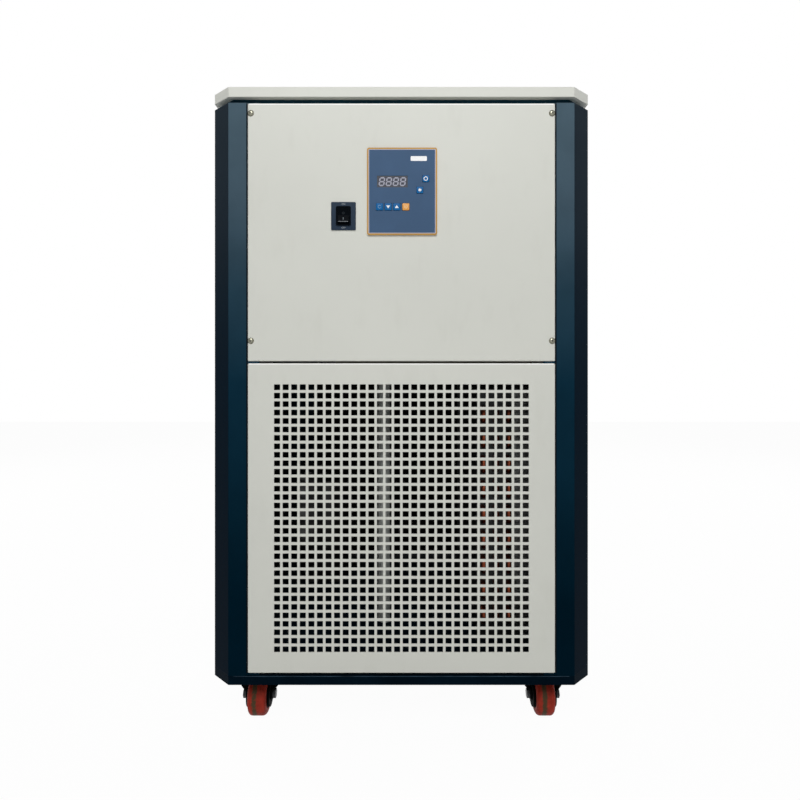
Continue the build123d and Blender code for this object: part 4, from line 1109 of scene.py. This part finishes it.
floor_tree = floor_paint.node_tree
glow = add_node(floor_tree, "Emission", {"Color": (1, 1, 1, 1), "Strength": 1.0})
white_share = add_node(
    floor_tree, "Math", {0: seen_as_white(floor_tree), 1: FLOOR_SHARE}, operation="MULTIPLY"
)
floor_mix = add_node(
    floor_tree,
    "MixShader",
    {
        0: white_share.outputs["Value"],
        1: floor_tree.nodes["Principled BSDF"].outputs["BSDF"],
        2: glow.outputs["Emission"],
    },
)
floor_tree.links.new(floor_mix.outputs["Shader"], floor_tree.nodes["Material Output"].inputs["Surface"])
floor_mesh = bpy.data.meshes.new("studio_floor")
floor_line = np.linspace(-1, 1, FLOOR_POINTS) * FLOOR_SIZE / 2
floor_x, floor_y = np.meshgrid(floor_line, floor_line)
floor_points = np.stack([floor_x, floor_y, np.full(floor_x.shape, -FLOOR_DROP)], -1).reshape(-1, 3)
floor_mesh.from_pydata(floor_points.tolist(), [], grid_faces(FLOOR_POINTS, FLOOR_POINTS).tolist())
floor_mesh.materials.append(floor_paint)
studio_floor = bpy.data.objects.new("studio_floor", floor_mesh)
bpy.context.scene.collection.objects.link(studio_floor)

# Camera
# It stands level, a metre in front of the cabinet and a little above its middle.
CAMERA_DISTANCE = 960 * MM
CAMERA_HEIGHT = 597.5 * MM
CAMERA_SIDE = -2.2 * MM
VIEW_WIDTH = 1248 * MM
VIEW_SHIFT = -0.06
SENSOR = 36.0

camera = bpy.data.objects.new("camera", bpy.data.cameras.new("camera"))
camera.data.sensor_width = SENSOR
camera.data.lens = SENSOR * CAMERA_DISTANCE / VIEW_WIDTH
camera.data.shift_y = VIEW_SHIFT
camera.location = (CAMERA_SIDE, panel_front - CAMERA_DISTANCE, CAMERA_HEIGHT)
camera.rotation_euler = (pi / 2, 0, 0)
bpy.context.scene.collection.objects.link(camera)
bpy.context.scene.camera = camera

# Light
# A wide soft lamp above and in front, a low fill, two lamps behind for the far sides, and an even white room.
# The room lights the sides softly, and the eye and mirrors see it as plain white.
KEY_POWER = 42.0
FILL_POWER = 6.0
BACK_POWER = 34.0
ROOM_STRENGTH = 0.08
ROOM_TONE = "c9ced4"


def soft_lamp(name, place, target, width, height, power):
    """Hang a rectangular lamp at a place, facing a target."""
    light = bpy.data.lights.new(name, "AREA")
    light.shape = "RECTANGLE"
    light.size = width
    light.size_y = height
    light.energy = power
    lamp = bpy.data.objects.new(name, light)
    lamp.location = place
    lamp.rotation_euler = (Vector(target) - Vector(place)).to_track_quat("-Z", "Y").to_euler()
    bpy.context.scene.collection.objects.link(lamp)


key_place, key_target = (0, panel_front - 1.9, 2.3), (0, panel_front, 0.75)
soft_lamp("key_lamp", key_place, key_target, width=1.4, height=1.2, power=KEY_POWER)
fill_place, fill_target = (0, panel_front - 2.6, 0.5), (0, panel_front, 0.4)
soft_lamp("fill_lamp", fill_place, fill_target, width=1.6, height=1.0, power=FILL_POWER)
for side, x in (("left", -2.0), ("right", 2.0)):
    back_place, back_target = (x, 1.6, 1.8), (0, 0, 0.6)
    soft_lamp(f"back_lamp_{side}", back_place, back_target, width=1.2, height=1.6, power=BACK_POWER)

room = bpy.data.worlds.new("room")
bpy.context.scene.world = room
room.use_nodes = True
walls = room.node_tree.nodes["Background"]
walls.inputs["Color"].default_value = linear(ROOM_TONE)
walls.inputs["Strength"].default_value = ROOM_STRENGTH
white = add_node(room.node_tree, "Background", {"Color": (1, 1, 1, 1), "Strength": 1.0})
choice = add_node(
    room.node_tree,
    "MixShader",
    {0: seen_as_white(room.node_tree), 1: walls.outputs["Background"], 2: white.outputs["Background"]},
)
room.node_tree.links.new(choice.outputs["Shader"], room.node_tree.nodes["World Output"].inputs["Surface"])
bpy.context.scene.view_settings.view_transform = "Standard"
